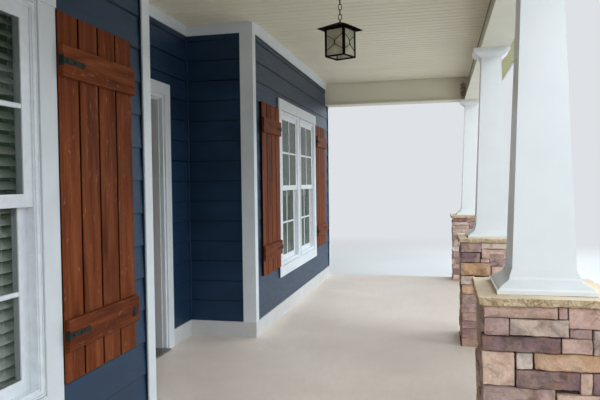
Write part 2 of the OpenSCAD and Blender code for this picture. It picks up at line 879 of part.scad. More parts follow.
floor_slab();
piers();
pier_caps();
column_bases();
column_shafts();
capitals();
front_beam();
header(-1);  // left_header
header(1);  // right_header
ceiling();
alcove_ceiling();
eave_soffit();
fascia();
roof_deck();
roof_ends();
wing_wall(-1);  // left_wall
wing_wall(1);  // right_wall
alcove_walls();
door_side_walls();
over_door_wall();
upper_wall();
corner_boards();
frieze_boards();
baseboards();
window_casing(-1);  // left_window_casing
window_casing(1);  // right_window_casing
window_frame(-1);  // left_window_frame
window_frame(1);  // right_window_frame
window_glass();
window_blinds();
shutter(-1, 1);  // shutter_1
shutter(-1, -1);  // shutter_2
shutter(1, -1);  // shutter_3
shutter(1, 1);  // shutter_4
shutter_straps();
door_casing();
door_frame();
threshold();
door_leaf();
door_glass();
door_handle();
lantern_mount();
lantern_chain();
lantern_body();
lantern_glass();
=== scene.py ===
# The looks of the front porch, in metres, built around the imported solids
import itertools
import math
import random

import bmesh
import bpy
from mathutils import Matrix, Vector, noise


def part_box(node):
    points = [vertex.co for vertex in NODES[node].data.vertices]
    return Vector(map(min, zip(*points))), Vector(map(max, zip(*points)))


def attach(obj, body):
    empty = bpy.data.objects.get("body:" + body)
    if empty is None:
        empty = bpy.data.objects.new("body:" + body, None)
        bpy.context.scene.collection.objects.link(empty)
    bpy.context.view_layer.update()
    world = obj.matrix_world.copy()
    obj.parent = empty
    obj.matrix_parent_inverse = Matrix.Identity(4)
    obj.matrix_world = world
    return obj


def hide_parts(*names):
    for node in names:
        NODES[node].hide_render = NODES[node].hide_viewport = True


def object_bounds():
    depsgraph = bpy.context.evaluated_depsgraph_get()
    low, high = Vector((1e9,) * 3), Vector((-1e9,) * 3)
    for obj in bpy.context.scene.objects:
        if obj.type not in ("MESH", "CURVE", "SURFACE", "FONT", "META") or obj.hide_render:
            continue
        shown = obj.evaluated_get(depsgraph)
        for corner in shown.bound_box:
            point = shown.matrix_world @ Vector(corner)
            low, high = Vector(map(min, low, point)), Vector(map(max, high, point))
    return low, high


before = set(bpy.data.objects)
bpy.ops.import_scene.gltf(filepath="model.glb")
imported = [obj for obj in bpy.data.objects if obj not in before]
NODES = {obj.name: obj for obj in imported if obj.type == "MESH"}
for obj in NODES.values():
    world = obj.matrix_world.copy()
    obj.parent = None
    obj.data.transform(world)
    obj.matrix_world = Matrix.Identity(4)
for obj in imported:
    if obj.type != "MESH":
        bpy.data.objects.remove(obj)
cad_low, cad_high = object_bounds()

# Blender's noise starts from the clock unless it is seeded
noise.seed_set(1)

# The left and right of the entry, as signs of X
SIDES = -1, 1

# Thin pieces reach this far into what carries them
SINK = 0.001

# Chamfers, from a blade-thin piece to a rounded bar
THIN_BEVEL = 0.0005
TRIM_BEVEL = 0.001
WOOD_BEVEL = 0.0015
ROUND_BEVEL = 0.003

# Siding, with a slot under each board tinted near black as a painted shadow line. Tones are shares
# of a material's colour
LAP = 0.1778
LAP_BUTT = 0.011
LAP_HEAD = 0.003
LAP_SLOT = 0.007
SLOT_OUT = 0.007
CORNER_STRIP = 0.022
EDGE_STRIP = 0.011
EDGE_STRIP_T = 0.015
SLIVER = 0.0001
LAP_TONES = 0.93, 1.05
SLOT_SHADE_TONE = 0.04
EDGE_SHADE_TONE = 0.3
FRIEZE_SHADE_TONE = 0.1

# Ceiling planks, three to a panel, and the lath at their edge
PLANK = 0.1016
PLANK_T = 0.009
PLANK_GAP = 0.006
PANEL_GAP = 0.010
PLANK_BEVEL = 0.005
PLANK_TONES = 0.985, 1.0
CEILING_GAP = 0.012
LATH_W = 0.016
LATH_T = 0.004

# Stone piers. Pairs are the limits of random draws
MORTAR_INSET = 0.034
STONE_GAP = 0.0015
STONE_CELL = 0.014
STONE_SET_BACK = 0.014
STONE_WOBBLE = 0.010
STONE_OUT = -0.016, -0.004
STONE_ROUND = 0.003, 0.006
STONE_WIDTH = 0.09, 0.3
STONE_TONES = 0.86, 1.12
STONE_DEPTH = 0.05
END_DEPTH = 0.06, 0.14
LISTED_DEPTH = 0.08
LEAST_WIDTH = 0.08
LEAST_COURSE = 0.03
COURSE = 0.055, 0.1
TALLEST_COURSE = 0.115
SPLIT_OVER = 0.085
SPLIT_WIDTH = 0.12
SPLIT_CHANCE = 0.35
SPLIT_AT = 0.4, 0.6

# Pier caps
CAP_T = 0.040
CAP_INSET = 0.004
CAP_CELL = 0.013
CAP_ROUND = 0.004
CAP_WOBBLE = 0.006

# Shutters
BOARDS = 4
SHUTTER_OFF = 0.010
BOARD_T = 0.019
BOARD_GAP = 0.013
BOARD_TRIM = 0.003
BOARD_SKIN = 0.004
BOARD_TONES = 0.84, 1.1
BACK_SHADE_TONE = 0.12
BATTEN_H = 0.136
BATTEN_IN = 0.006
BATTEN_EAR = 0.005
BATTEN_LOW = 0.142
BATTEN_HIGH = 0.144
BATTEN_TONES = 0.92, 1.08
SPACER_R = 0.009

# Bolts on the straps, from their ends, and the pull on one shutter
STRAP_BOLTS = 0.03, 0.085
BOLT_R = 0.006
BOLT_H = 0.003
PULL_IN = 0.052
PULL_UP = 0.42
PULL_R = 0.021
PULL_H = 0.027
PULL_T = 0.012

# Windows. The beads and grooves are distances from a frame's edge
MUNTIN_W = 0.020
MUNTIN_T = 0.005
FRAME_PLAY = 0.012
BEADS = (0.003, 0.011), (0.0135, 0.031)
GROOVES = (0.0002, 0.003), (0.011, 0.0135)
BEAD_T = 0.005
GROOVE_T = 0.001

# Blinds
HEAD_RAIL = 0.045
FOOT_RAIL = 0.014
RAIL_HALF = 0.022
RAIL_BACK = 0.006
BLIND_FORWARD = 0.003
SHADE_SHEET_T = 0.004
SLAT_PITCH = 0.047
SLAT_W = 0.052
SLAT_T = 0.0028
SLAT_BOW = 0.0035
SLAT_TILT = math.radians(38)
SLAT_SWAY = 0.03
SLAT_IN = 0.003
FIRST_SLAT = 0.7
LAST_SLAT = 0.4
CORD_IN = 0.12
CORD_OUT = 0.021
CORD_FOOT = 0.01
CORD_R = 0.0008

# The door's leaded light
DIAMOND_W = 0.113
DIAMOND_H = 0.164
CAME_HALF = 0.004
CAME_T = 0.003
LEAST_CAME = 0.02

# Lantern
LANTERN_TURN = math.radians(22)
LANTERN_HALF = 0.0755
LANTERN_POST = 0.015
POST_T = 0.003
POST_PROUD = 0.0005

# Roof
DECK_T = 0.045
DECK_TONE = 0.8
SHINGLE_T = 0.009
SHINGLE_TIP = 0.002
SHINGLE_RUN = 0.143
SHINGLE_LAP = 1.02
SHINGLE_W = 0.305
SHINGLE_GAP = 0.005
SHINGLE_LEAST = 0.01
SHINGLE_SHIFT = 0.04
SHINGLE_TONES = 0.72, 1.1


def srgb(r, g, b):
    """A linear colour from the usual 0 to 255 values"""
    def linear(c):
        c /= 255
        return c / 12.92 if c <= 0.04045 else ((c + 0.055) / 1.055) ** 2.4
    return (linear(r), linear(g), linear(b), 1.0)


def plain(tone=1.0):
    """A grey tint that makes a part lighter or darker than its material"""
    return (tone, tone, tone, 1.0)


# Mesh making

SQUARE = (0, 0), (1, 0), (1, 1), (0, 1)


def solids(node):
    """The corners of each separate solid of a node, sorted along X"""
    mesh = NODES[node].data
    groups = {}
    for face in mesh.polygons:
        group = {tuple(round(c, 5) for c in mesh.vertices[i].co) for i in face.vertices}
        group.update(*[groups.get(key, ()) for key in group])
        groups.update(dict.fromkeys(group, group))
    boxes = [(Vector(map(min, *g)), Vector(map(max, *g)))
             for g in {id(g): g for g in groups.values()}.values()]
    return sorted(boxes, key=lambda b: tuple(b[0]))


def clamp(point, low, high):
    """The nearest point in a box"""
    return Vector([min(max(c, a), b) for c, a, b in zip(point, low, high)])


def turns(count):
    """The angles of equal steps round a circle"""
    return [2 * math.pi * k / count for k in range(count)]


def add_object(name, data):
    """A new object in the scene"""
    obj = bpy.data.objects.new(name, data)
    bpy.context.scene.collection.objects.link(obj)
    return obj


def add_tint(mesh, tints):
    """Stores each point's tint, which the finishes multiply by"""
    layer = mesh.attributes.new("tint", "FLOAT_COLOR", "POINT")
    layer.data.foreach_set("color", [c for tint in tints for c in tint])


class Side:
    """A flat wall face: u runs along X or Y, axis 0 or 1, n out of it, and z up"""

    def __init__(self, axis, place, out):
        self.axis, self.place, self.out = axis, place, out

    def at(self, u, n, z):
        """The point u along the face, n out of it and at height z"""
        across = self.place + self.out * n
        return Vector((across, u, z) if self.axis else (u, across, z))


class Shape:
    """Gathers the parts of one piece. Each part has a tint, and a grain along one axis"""

    def __init__(self, seed):
        self.points, self.faces, self.tints, self.grains, self.slots = [], [], [], [], []
        self.random = random.Random(seed)

    def add(self, points, faces, tint=plain(), along=2, slot=0):
        """Adds a part; slot is the number of its material"""
        first = len(self.points)
        self.points += [Vector(p) for p in points]
        self.faces += [[first + i for i in face] for face in faces]
        self.tints += [tint] * len(points)
        self.slots += [slot] * len(faces)
        shift = Vector([self.random.uniform(0, 9) for _ in range(3)])
        order = [(along + 1) % 3, (along + 2) % 3, along]
        self.grains += [Vector([p[k] for k in order]) + shift for p in points]

    def prism(self, start, end, **look):
        """Joins two outlines of as many points and closes both ends"""
        n = len(start)
        sides = [[i, (i + 1) % n, n + (i + 1) % n, n + i] for i in range(n)]
        self.add([*start, *end], [list(range(n))[::-1], list(range(n, 2 * n)), *sides], **look)

    def bar(self, start, end, radius, sides):
        """A straight round bar"""
        start, end = Vector(start), Vector(end)
        heading = (end - start).normalized()
        across = heading.orthogonal().normalized()
        other = heading.cross(across)
        ring = [radius * (across * math.cos(a) + other * math.sin(a)) for a in turns(sides)]
        self.prism([start + p for p in ring], [end + p for p in ring])

    def box(self, lo, hi, bevel=0.002, **look):
        """A box with chamfered edges: each corner has a point on each of its three faces"""
        points = [[(hi[k] - bevel * (k != face)) if sides[k] else (lo[k] + bevel * (k != face))
                   for k in range(3)]
                  for sides in itertools.product((0, 1), repeat=3) for face in range(3)]

        def point(sides, face):
            return 3 * (4 * sides[0] + 2 * sides[1] + sides[2]) + face

        faces = [[i, i + 1, i + 2] for i in range(0, len(points), 3)]
        for a, b, c in ((0, 1, 2), (1, 2, 0), (2, 0, 1)):
            low, high = [[{a: side, b: i, c: j} for i, j in SQUARE] for side in (0, 1)]
            faces += [[point(sides, a) for sides in low], [point(sides, a) for sides in high]]
            faces += [[point(p, b), point(q, b), point(q, c), point(p, c)]
                      for p, q in zip(low, high)]
        self.add(points, faces, **look)

    def rough(self, lo, hi, cell, round_r, wobble, outward=None, **look):
        """A block with rounded edges and an uneven surface, such as a split stone. With
        outward, an axis, the wobble is small along the other two"""
        coarse_size, fine_size, fine_share, in_plane = 12, 45, 0.6, 0.3
        lo, hi = Vector(lo), Vector(hi)
        core_lo, core_hi = [c + round_r for c in lo], [c - round_r for c in hi]
        share = Vector([1 if outward in (None, k) else in_plane for k in range(3)]) * wobble
        lines = []
        for k in range(3):
            inner = hi[k] - lo[k] - 2 * round_r
            count = max(1, round(inner / cell))
            steps = [core_lo[k] + inner * i / count for i in range(count + 1)]
            lines.append([lo[k], *steps, hi[k]])
        place, points, faces = {}, [], []
        seed = Vector([self.random.uniform(-50, 50) for _ in range(3)])

        def vertex(steps):
            key = steps[0], steps[1], steps[2]
            if key not in place:
                p = Vector([line[i] for line, i in zip(lines, key)])
                core = clamp(p, core_lo, core_hi)
                if (p - core).length > 0:
                    p = core + (p - core).normalized() * round_r
                coarse = noise.noise_vector(p * coarse_size + seed)
                fine = noise.noise_vector(p * fine_size + seed) * fine_share
                place[key] = len(points)
                points.append(p + (coarse + fine) * share)
            return place[key]

        last = [len(line) - 1 for line in lines]
        for a, b, c in ((0, 1, 2), (1, 2, 0), (2, 0, 1)):
            for side, i, j in itertools.product((0, last[a]), range(last[b]), range(last[c])):
                faces.append([vertex({a: side, b: i + di, c: j + dj}) for di, dj in SQUARE])
        self.add(points, faces, **look)

    def piece(self, name, slot, *materials, body="porch", replaces=(), smooth=False):
        """Makes the mesh object, with its materials and body. The slot is not used"""
        mesh = bpy.data.meshes.new(name)
        mesh.from_pydata(self.points, [], self.faces)
        add_tint(mesh, self.tints)
        grain = mesh.attributes.new("grain", "FLOAT_VECTOR", "POINT")
        grain.data.foreach_set("vector", [c for g in self.grains for c in g])
        mesh.polygons.foreach_set("material_index", self.slots)
        mesh.polygons.foreach_set("use_smooth", [smooth] * len(self.faces))
        for material in materials:
            mesh.materials.append(material)
        tidy = bmesh.new()
        tidy.from_mesh(mesh)
        bmesh.ops.recalc_face_normals(tidy, faces=tidy.faces)
        tidy.to_mesh(mesh)
        tidy.free()
        obj = add_object(name, mesh)
        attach(obj, body)
        if replaces:
            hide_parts(*replaces)


# Materials

class Nodes:
    """A node tree, with a short call for each kind of node"""

    def __init__(self, tree):
        self.tree = tree

    def node(self, kind, inputs=(), **settings):
        """A new node with its settings made and its inputs set or linked"""
        node = self.tree.nodes.new("ShaderNode" + kind)
        for key, value in settings.items():
            setattr(node, key, value)
        for key, value in dict(inputs).items():
            self.put(node.inputs[key], value)
        return node

    def put(self, socket, value):
        """Links an output to the socket, or sets its value"""
        if isinstance(value, bpy.types.NodeSocket):
            self.tree.links.new(value, socket)
        else:
            socket.default_value = value

    def math(self, operation, a, b=0.0):
        return self.node("Math", {0: a, 1: b}, operation=operation).outputs["Value"]


class Finish(Nodes):
    """A material of the part"""

    def __init__(self, name, roughness=0.6, metallic=0.0, alpha=1.0, specular=0.5):
        self.material = bpy.data.materials.new(name)
        self.material.use_nodes = True
        super().__init__(self.material.node_tree)
        self.shader = self.tree.nodes["Principled BSDF"]
        self.feed({"Roughness": roughness, "Metallic": metallic, "Alpha": alpha,
                   "Specular IOR Level": specular})

    def feed(self, inputs):
        """Sets or links the shader's inputs, but none whose value is None"""
        for key, value in inputs.items():
            if value is not None:
                self.put(self.shader.inputs[key], value)

    def place(self, scale=(1, 1, 1)):
        """Where the point is on the object, in metres, times a scale"""
        return self.scaled(self.node("TexCoord").outputs["Object"], scale)

    def grain(self, scale=(1, 1, 1)):
        """Where the point is in its own part, with Z along the part"""
        coords = self.node("Attribute", attribute_name="grain").outputs["Vector"]
        return self.scaled(coords, scale)

    def scaled(self, coords, scale):
        return self.node("Mapping", {"Vector": coords, "Scale": scale}).outputs["Vector"]

    def tint(self):
        """The part's own tint"""
        return self.node("Attribute", attribute_name="tint").outputs["Color"]

    def noise(self, coords, scale, detail=4, rough=0.55, warp=0):
        inputs = {"Vector": coords, "Scale": scale, "Detail": detail, "Roughness": rough,
                  "Distortion": warp}
        return self.node("TexNoise", inputs).outputs["Fac"]

    def ramp(self, value, *stops):
        """Colours or greys at places from 0 to 1"""
        node = self.node("ValToRGB", {"Fac": value})
        elements = node.color_ramp.elements
        while len(elements) < len(stops):
            elements.new(0.5)
        for element, (position, colour) in zip(elements, stops):
            element.position = position
            element.color = colour if hasattr(colour, "__len__") else plain(colour)
        return node.outputs["Color"]

    def fade(self, value, low, high):
        """A ramp over the middle of a noise's range"""
        return self.ramp(value, (0.3, low), (0.7, high))

    def mix(self, share, a, b, blend="MIX"):
        node = self.node("Mix", {0: share, 6: a, 7: b}, data_type="RGBA", blend_type=blend)
        return node.outputs[2]

    def darken(self, base, share, value, *stops):
        """Multiplies a colour by a ramp, for a share"""
        return self.mix(share, base, self.ramp(value, *stops), "MULTIPLY")

    def tinted(self, base):
        """Multiplies a colour by the part's own tint"""
        return self.mix(1.0, base, self.tint(), "MULTIPLY")

    def bump(self, height, distance, strength=1.0, under=None):
        """A rough normal, over another where that is given"""
        inputs = {"Height": height, "Distance": distance, "Strength": strength}
        if under is not None:
            inputs["Normal"] = under
        return self.node("Bump", inputs).outputs["Normal"]

    def done(self, colour, normal=None, roughness=None):
        """Feeds the shader and gives the material"""
        self.feed({"Base Color": colour, "Normal": normal, "Roughness": roughness})
        return self.material


def painted(name, colour, roughness=0.45, dirt=0.06):
    """Painted boards: faint brush marks, a little dirt and an uneven sheen"""
    f = Finish(name, roughness)
    marks = f.noise(f.place((3, 3, 3)), 2.0, 6)
    fine = f.noise(f.place((40, 40, 6)), 8.0, 3)
    base = f.darken(colour, 1.0, marks, (0.35, 1.0 - dirt), (0.62, 1.0))
    shine = f.fade(fine, roughness - 0.06, roughness + 0.08)
    return f.done(base, f.bump(fine, 0.0006, 0.25), shine)


def stained_paint(name, colour, spot):
    """Painted boards with one patch of mud and rust in a corner"""
    f = Finish(name, 0.5)
    fine = f.noise(f.place((40, 40, 6)), 8.0, 3)
    ragged = f.noise(f.place(), 30.0, 5, 0.7, 1.0)
    clots = f.noise(f.place((1, 1, 0.4)), 70.0, 3, 0.6)
    shift = f.node("VectorMath", {0: f.place(), 1: spot}, operation="SUBTRACT").outputs[0]
    reach = f.node("VectorMath", {0: f.scaled(shift, (6, 22, 8))}, operation="LENGTH")
    away = f.math("ADD", reach.outputs["Value"], f.math("MULTIPLY", ragged, 1.6))
    mud = f.ramp(f.math("DIVIDE", away, 4.0), (0.38, 0.9), (0.46, 0.0))
    haze = f.ramp(f.math("DIVIDE", away, 10.0), (0.15, 0.5), (0.6, 0.0))
    base = f.mix(haze, colour, srgb(160, 150, 128))
    base = f.mix(mud, base, f.ramp(clots, (0.4, srgb(64, 52, 42)), (0.6, srgb(138, 128, 112))))
    return f.done(base, f.bump(fine, 0.0006, 0.25))


def siding_finish():
    """Dark blue lap boards with a pressed wood grain along them"""
    f = Finish("siding_blue", 0.42, specular=0.42)
    f.put(f.shader.inputs["Specular Tint"], (0.62, 0.86, 1.0, 1.0))
    grain = f.noise(f.grain((90, 90, 5)), 1.0, 5, 0.6, 1.2)
    patches = f.noise(f.place((1.2, 1.2, 2.5)), 1.5, 4)
    base = f.fade(patches, srgb(25, 45, 69), srgb(33, 56, 84))
    base = f.darken(base, 0.35, grain, (0.35, 0.72), (0.65, 1.0))
    base = f.tinted(base)
    shine = f.fade(grain, 0.36, 0.5)
    return f.done(base, f.bump(grain, 0.0012, 0.5), shine)


def ceiling_finish(name, dark, light):
    """Planks in two given colours, mottled and matt"""
    f = Finish(name, 0.5)
    clouds = f.noise(f.place((1.5, 0.8, 1)), 1.2, 4)
    fine = f.noise(f.place((60, 4, 60)), 2.0, 3)
    base = f.fade(clouds, dark, light)
    base = f.tinted(base)
    return f.done(base, f.bump(fine, 0.0005, 0.3))


def stone_finish():
    """Split stones: the tint gives each its own colour, with specks, a rough face, and painted
    shade that darkens the low parts of its relief
    """
    f = Finish("ledge_stone", 0.88, specular=0.3)
    big = f.noise(f.grain(), 11.0, 7, 0.62, 0.9)
    patch = f.noise(f.grain(), 4.5, 5, 0.6, 0.5)
    blush = f.noise(f.grain((1, 1, 1.3)), 7.0, 4, 0.6, 1.5)
    streaks = f.noise(f.grain((1.6, 1.6, 1)), 9.0, 5, 0.58, 0.7)
    specks = f.noise(f.grain(), 130.0, 3, 0.6)
    facets = f.node("TexVoronoi", {"Vector": f.grain((1, 1, 0.6)), "Scale": 24.0},
                    feature="F1").outputs["Color"]
    shade = f.node("SeparateColor", {"Color": facets}).outputs["Red"]
    relief_and_shade = f.math("ADD", f.math("MULTIPLY", streaks, 0.6), f.math("MULTIPLY", big, 0.4))
    base = f.mix(f.ramp(patch, (0.46, 0.0), (0.62, 0.45)), f.tint(), srgb(240, 208, 186))
    base = f.mix(f.ramp(blush, (0.52, 0.0), (0.66, 0.4)), base, srgb(196, 144, 108))
    # Painted shade: the low parts of the relief, which the bump also uses, are darkened
    base = f.darken(base, 0.75, relief_and_shade, (0.38, 0.38), (0.5, 0.86), (0.58, 1.0))
    base = f.darken(base, 0.3, specks, (0.3, 0.6), (0.6, 1.0))
    cleft = f.bump(f.math("ADD", relief_and_shade, f.math("MULTIPLY", shade, 0.25)), 0.05, 0.9)
    return f.done(base, f.bump(specks, 0.003, 0.6, cleft))


def mortar_finish():
    """The dark bed behind the dry-laid stones"""
    f = Finish("mortar_bed", 0.95)
    grit = f.noise(f.place(), 90.0, 4, 0.7)
    base = f.fade(grit, srgb(44, 33, 27), srgb(80, 64, 54))
    return f.done(base, f.bump(grit, 0.004, 0.8))


def cap_finish():
    """Tan flagstone, smoother on top than at its chipped edges, where the hollows of the chips are
    darker as painted shade
    """
    f = Finish("cap_flagstone", 0.8, specular=0.3)
    clouds = f.noise(f.grain(), 6.0, 6, 0.6, 0.5)
    chips = f.noise(f.grain((1, 1, 0.55)), 34.0, 4, 0.6, 1.6)
    specks = f.noise(f.grain(), 150.0, 3, 0.6)
    upward = f.node("SeparateXYZ", {"Vector": f.node("NewGeometry").outputs["Normal"]})
    edge = f.ramp(f.math("ABSOLUTE", upward.outputs["Z"]), (0.55, 1.0), (0.9, 0.0))
    base = f.ramp(clouds, (0.28, srgb(232, 204, 174)), (0.5, srgb(241, 218, 188)),
                  (0.72, srgb(247, 228, 202)))
    base = f.darken(base, 0.15, specks, (0.35, 0.7), (0.6, 1.0))
    # The chipped edges' colour, darkest in the hollows of the chips as painted shade
    chipped_and_shade = f.ramp(chips, (0.38, srgb(196, 162, 122)), (0.5, srgb(228, 198, 158)),
                    (0.66, srgb(248, 226, 192)))
    base = f.mix(edge, base, chipped_and_shade)
    rough = f.bump(f.math("MULTIPLY", chips, edge), 0.035, 0.9)
    return f.done(base, f.bump(specks, 0.002, 0.5, rough))


def concrete_finish():
    """A trowelled slab with soft clouds, fine pores and a few darker stains"""
    f = Finish("slab_concrete", 0.5)
    clouds = f.noise(f.place(), 1.3, 6, 0.6, 0.4)
    sweep = f.noise(f.place((2, 7, 2)), 2.2, 5, 0.6, 1.5)
    pores = f.noise(f.place(), 260.0, 2, 0.6)
    base = f.fade(clouds, srgb(223, 207, 194), srgb(238, 223, 210))
    base = f.darken(base, 0.35, sweep, (0.35, 0.84), (0.6, 1.0))
    base = f.darken(base, 0.4, pores, (0.3, 0.8), (0.5, 1.0))
    shine = f.fade(sweep, 0.36, 0.56)
    return f.done(base, f.bump(pores, 0.0008, 0.4, f.bump(sweep, 0.004, 0.15)), shine)


def shutter_finish():
    """Stained timber: soft bands and fibres along the board, a few knots and worn streaks"""
    f = Finish("shutter_wood", 0.55, specular=0.06)
    dark = srgb(78, 34, 17)
    bands = f.noise(f.grain((11, 11, 0.9)), 1.0, 5, 0.6, 1.4)
    fibre = f.noise(f.grain((150, 150, 4)), 1.0, 5, 0.62, 0.4)
    patch = f.noise(f.grain((5, 5, 1.5)), 1.0, 4, 0.6, 0.5)
    wear = f.noise(f.grain((42, 42, 9)), 1.0, 6, 0.75, 0.8)
    knot = f.node("TexVoronoi", {"Vector": f.grain((6, 6, 2.2)), "Scale": 1.0, "Randomness": 1.0},
                  feature="F1").outputs["Distance"]
    base = f.ramp(bands, (0.28, dark), (0.46, srgb(114, 56, 28)), (0.74, srgb(146, 82, 46)))
    base = f.darken(base, 0.55, fibre, (0.32, 0.55), (0.6, 1.0))
    base = f.darken(base, 0.35, patch, (0.35, 0.65), (0.65, 1.0))
    base = f.mix(f.ramp(wear, (0.58, 0.0), (0.7, 0.6)), base, srgb(178, 120, 80))
    base = f.mix(f.ramp(knot, (0.05, 0.75), (0.12, 0.0)), base, dark)
    base = f.tinted(base)
    height = f.math("ADD", f.math("MULTIPLY", fibre, 0.6), f.math("MULTIPLY", bands, 0.4))
    shine = f.fade(patch, 0.49, 0.65)
    return f.done(base, f.bump(height, 0.0016, 0.6), shine)


def door_finish():
    """Stained timber for a solid of the frame, with its grain upright"""
    f = Finish("door_wood", 0.35)
    bands = f.noise(f.place((30, 30, 2.2)), 1.0, 5, 0.6, 0.8)
    fibre = f.noise(f.place((220, 220, 8)), 1.0, 4, 0.6)
    base = f.fade(bands, srgb(62, 14, 10), srgb(104, 30, 22))
    base = f.darken(base, 0.4, fibre, (0.3, 0.6), (0.6, 1.0))
    return f.done(base, f.bump(fibre, 0.001, 0.4), f.fade(bands, 0.28, 0.42))


def metal_finish(name, dark, light, roughness, metallic, specular=0.25):
    """Painted or bare metal with worn spots and a slightly uneven face"""
    f = Finish(name, roughness, metallic, specular=specular)
    wear = f.noise(f.place(), 30.0, 5, 0.65)
    grain = f.noise(f.place(), 140.0, 3, 0.6)
    base = f.ramp(wear, (0.35, dark), (0.75, light))
    shine = f.fade(grain, max(0.05, roughness - 0.12), roughness + 0.15)
    return f.done(base, f.bump(grain, 0.0012, 0.45), shine)


def vinyl_finish():
    """White window vinyl with a soft sheen"""
    f = Finish("window_vinyl", 0.3)
    fine = f.noise(f.place((8, 8, 8)), 3.0, 4)
    base = f.fade(fine, srgb(217, 221, 226), srgb(229, 233, 238))
    return f.done(base, f.bump(fine, 0.0008, 0.15))


def rippled_glass_finish(name, dark, light, alpha, roughness, ripple):
    """Old glass in a pale mottled colour, with ripples and seeds"""
    f = Finish(name, roughness, alpha=alpha, specular=0.3)
    glass_mottle = f.noise(f.place(), 9.0, 4)
    base = f.ramp(glass_mottle, (0.35, dark), (0.65, light))
    waves = f.noise(f.place(), 45.0, 2)
    return f.done(base, f.bump(waves, 0.004, 0.1 + ripple))


def window_pane_finish():
    """Window glass: tinted green and clear from in front; at glancing angles hard to see through
    and painted a mottled dark green as a painted reflection
    """
    f = Finish("window_pane", 0.05, specular=0.06)
    facing = f.node("LayerWeight", {"Blend": 0.5}).outputs["Facing"]
    glancing = f.ramp(facing, (0.45, 0.0), (0.72, 1.0))
    glass_mottle = f.noise(f.place(), 3.0, 4)
    uneven = f.noise(f.place(), 14.0, 5, 0.7)
    front = f.fade(glass_mottle, srgb(52, 70, 54), srgb(84, 104, 84))
    # Painted reflection: the mottled dark green that glancing views show
    along = f.ramp(uneven, (0.35, srgb(46, 56, 46)), (0.65, srgb(96, 106, 88)))
    see = f.math("ADD", f.math("MULTIPLY", glancing, 0.68), 0.2)
    f.put(f.shader.inputs["Alpha"], see)
    waves = f.noise(f.place(), 2.5, 2)
    return f.done(f.mix(glancing, front, along), f.bump(waves, 0.002, 0.1))


def shingle_finish():
    """Mineral-faced shingles, each with its own tint"""
    f = Finish("roof_shingles", 0.9)
    grit = f.noise(f.place(), 350.0, 2, 0.7)
    clouds = f.noise(f.place(), 3.0, 4)
    base = f.fade(grit, srgb(58, 57, 58), srgb(128, 124, 120))
    base = f.darken(base, 0.4, clouds, (0.3, 0.7), (0.7, 1.0))
    base = f.tinted(base)
    return f.done(base, f.bump(grit, 0.002, 0.7))


# White paint tinted cream on the beam and headers, as painted warm bounce light
BEAM_BOUNCE_TINT = srgb(230, 225, 206)
MUD_SPOT = (4.43, -1.918, 2.735)

white_paint = painted("white_paint", srgb(220, 225, 229))
column_paint = painted("column_paint", srgb(244, 245, 246), 0.38, 0.03)
baseboard_paint = painted("baseboard_paint", srgb(208, 207, 206), 0.5, 0.08)
beam_paint = painted("beam_paint", BEAM_BOUNCE_TINT, 0.42, 0.05)
siding_blue = siding_finish()
ceiling_cream = ceiling_finish("ceiling_cream", srgb(230, 221, 197), srgb(239, 231, 209))
# The soffit's paint is tinted olive green as painted green bounce light
soffit_painted_bounce = ceiling_finish("soffit_painted_bounce", srgb(174, 170, 124), srgb(184, 180, 134))
header_paint = stained_paint("header_paint", BEAM_BOUNCE_TINT, MUD_SPOT)
ledge_stone = stone_finish()
mortar_bed = mortar_finish()
cap_flagstone = cap_finish()
slab_concrete = concrete_finish()
shutter_wood = shutter_finish()
door_wood = door_finish()
black_iron = metal_finish("black_iron", srgb(18, 21, 22), srgb(38, 42, 42), 0.6, 0.0)
lantern_bronze = metal_finish("lantern_bronze", srgb(14, 9, 6), srgb(34, 24, 16), 0.7, 0.0,
                              0.06)
lead_came = metal_finish("lead_came", srgb(34, 34, 36), srgb(70, 70, 72), 0.5, 0.7)
sill_metal = metal_finish("sill_metal", srgb(120, 118, 112), srgb(168, 166, 160), 0.4, 0.9)
window_vinyl = vinyl_finish()
blind_white = painted("blind_white", srgb(240, 240, 234), 0.4, 0.04)
# A near-black finish for painted shade: the sheet behind each blind and the frame's grooves
painted_shade = painted("painted_shade", srgb(20, 22, 24), 0.9, 0.3)
window_pane = window_pane_finish()
door_pane = rippled_glass_finish("door_pane", srgb(96, 104, 104), srgb(160, 170, 168), 0.75,
                                 0.15, 0.5)
# The lantern glass's pale cream colour is a painted reflection of the cream ceiling
lantern_pane = rippled_glass_finish("lantern_pane", srgb(196, 193, 166), srgb(240, 236, 212), 0.62,
                                    0.1, 0.6)
roof_shingles = shingle_finish()

NODE_LOOKS = (
    (slab_concrete, "floor_slab"),
    (mortar_bed, "piers"),
    (cap_flagstone, "pier_caps"),
    (column_paint, "column_bases column_shafts capitals"),
    (beam_paint, "front_beam left_header"),
    (header_paint, "right_header"),
    (ceiling_cream, "ceiling alcove_ceiling"),
    (soffit_painted_bounce, "eave_soffit"),
    (roof_shingles, "roof_deck"),
    (siding_blue, "roof_ends left_wall right_wall alcove_walls door_side_walls over_door_wall "
                  "upper_wall"),
    (white_paint, "fascia corner_boards frieze_boards left_window_casing right_window_casing "
                  "door_casing door_frame"),
    (baseboard_paint, "baseboards"),
    (window_vinyl, "left_window_frame right_window_frame"),
    (window_pane, "window_glass"),
    (blind_white, "window_blinds"),
    (shutter_wood, "shutter_1 shutter_2 shutter_3 shutter_4"),
    (black_iron, "shutter_straps door_handle"),
    (sill_metal, "threshold"),
    (door_wood, "door_leaf"),
    (door_pane, "door_glass"),
    (lantern_bronze, "lantern_mount lantern_chain lantern_body"),
    (lantern_pane, "lantern_glass"))

# The bottoms of the grooves between planks are tinted darker than the planks, as painted shade
GROOVE_SHADE_TONES = {"ceiling": 0.3, "alcove_ceiling": 0.3, "eave_soffit": 0.5}


def dress_nodes():
    """Gives every solid of the frame its finish and its tint"""
    for material, names in NODE_LOOKS:
        for name in names.split():
            mesh = NODES[name].data
            mesh.materials.clear()
            mesh.materials.append(material)
            add_tint(mesh, [plain(GROOVE_SHADE_TONES.get(name, 1.0))] * len(mesh.vertices))


# Levels and faces of the frame

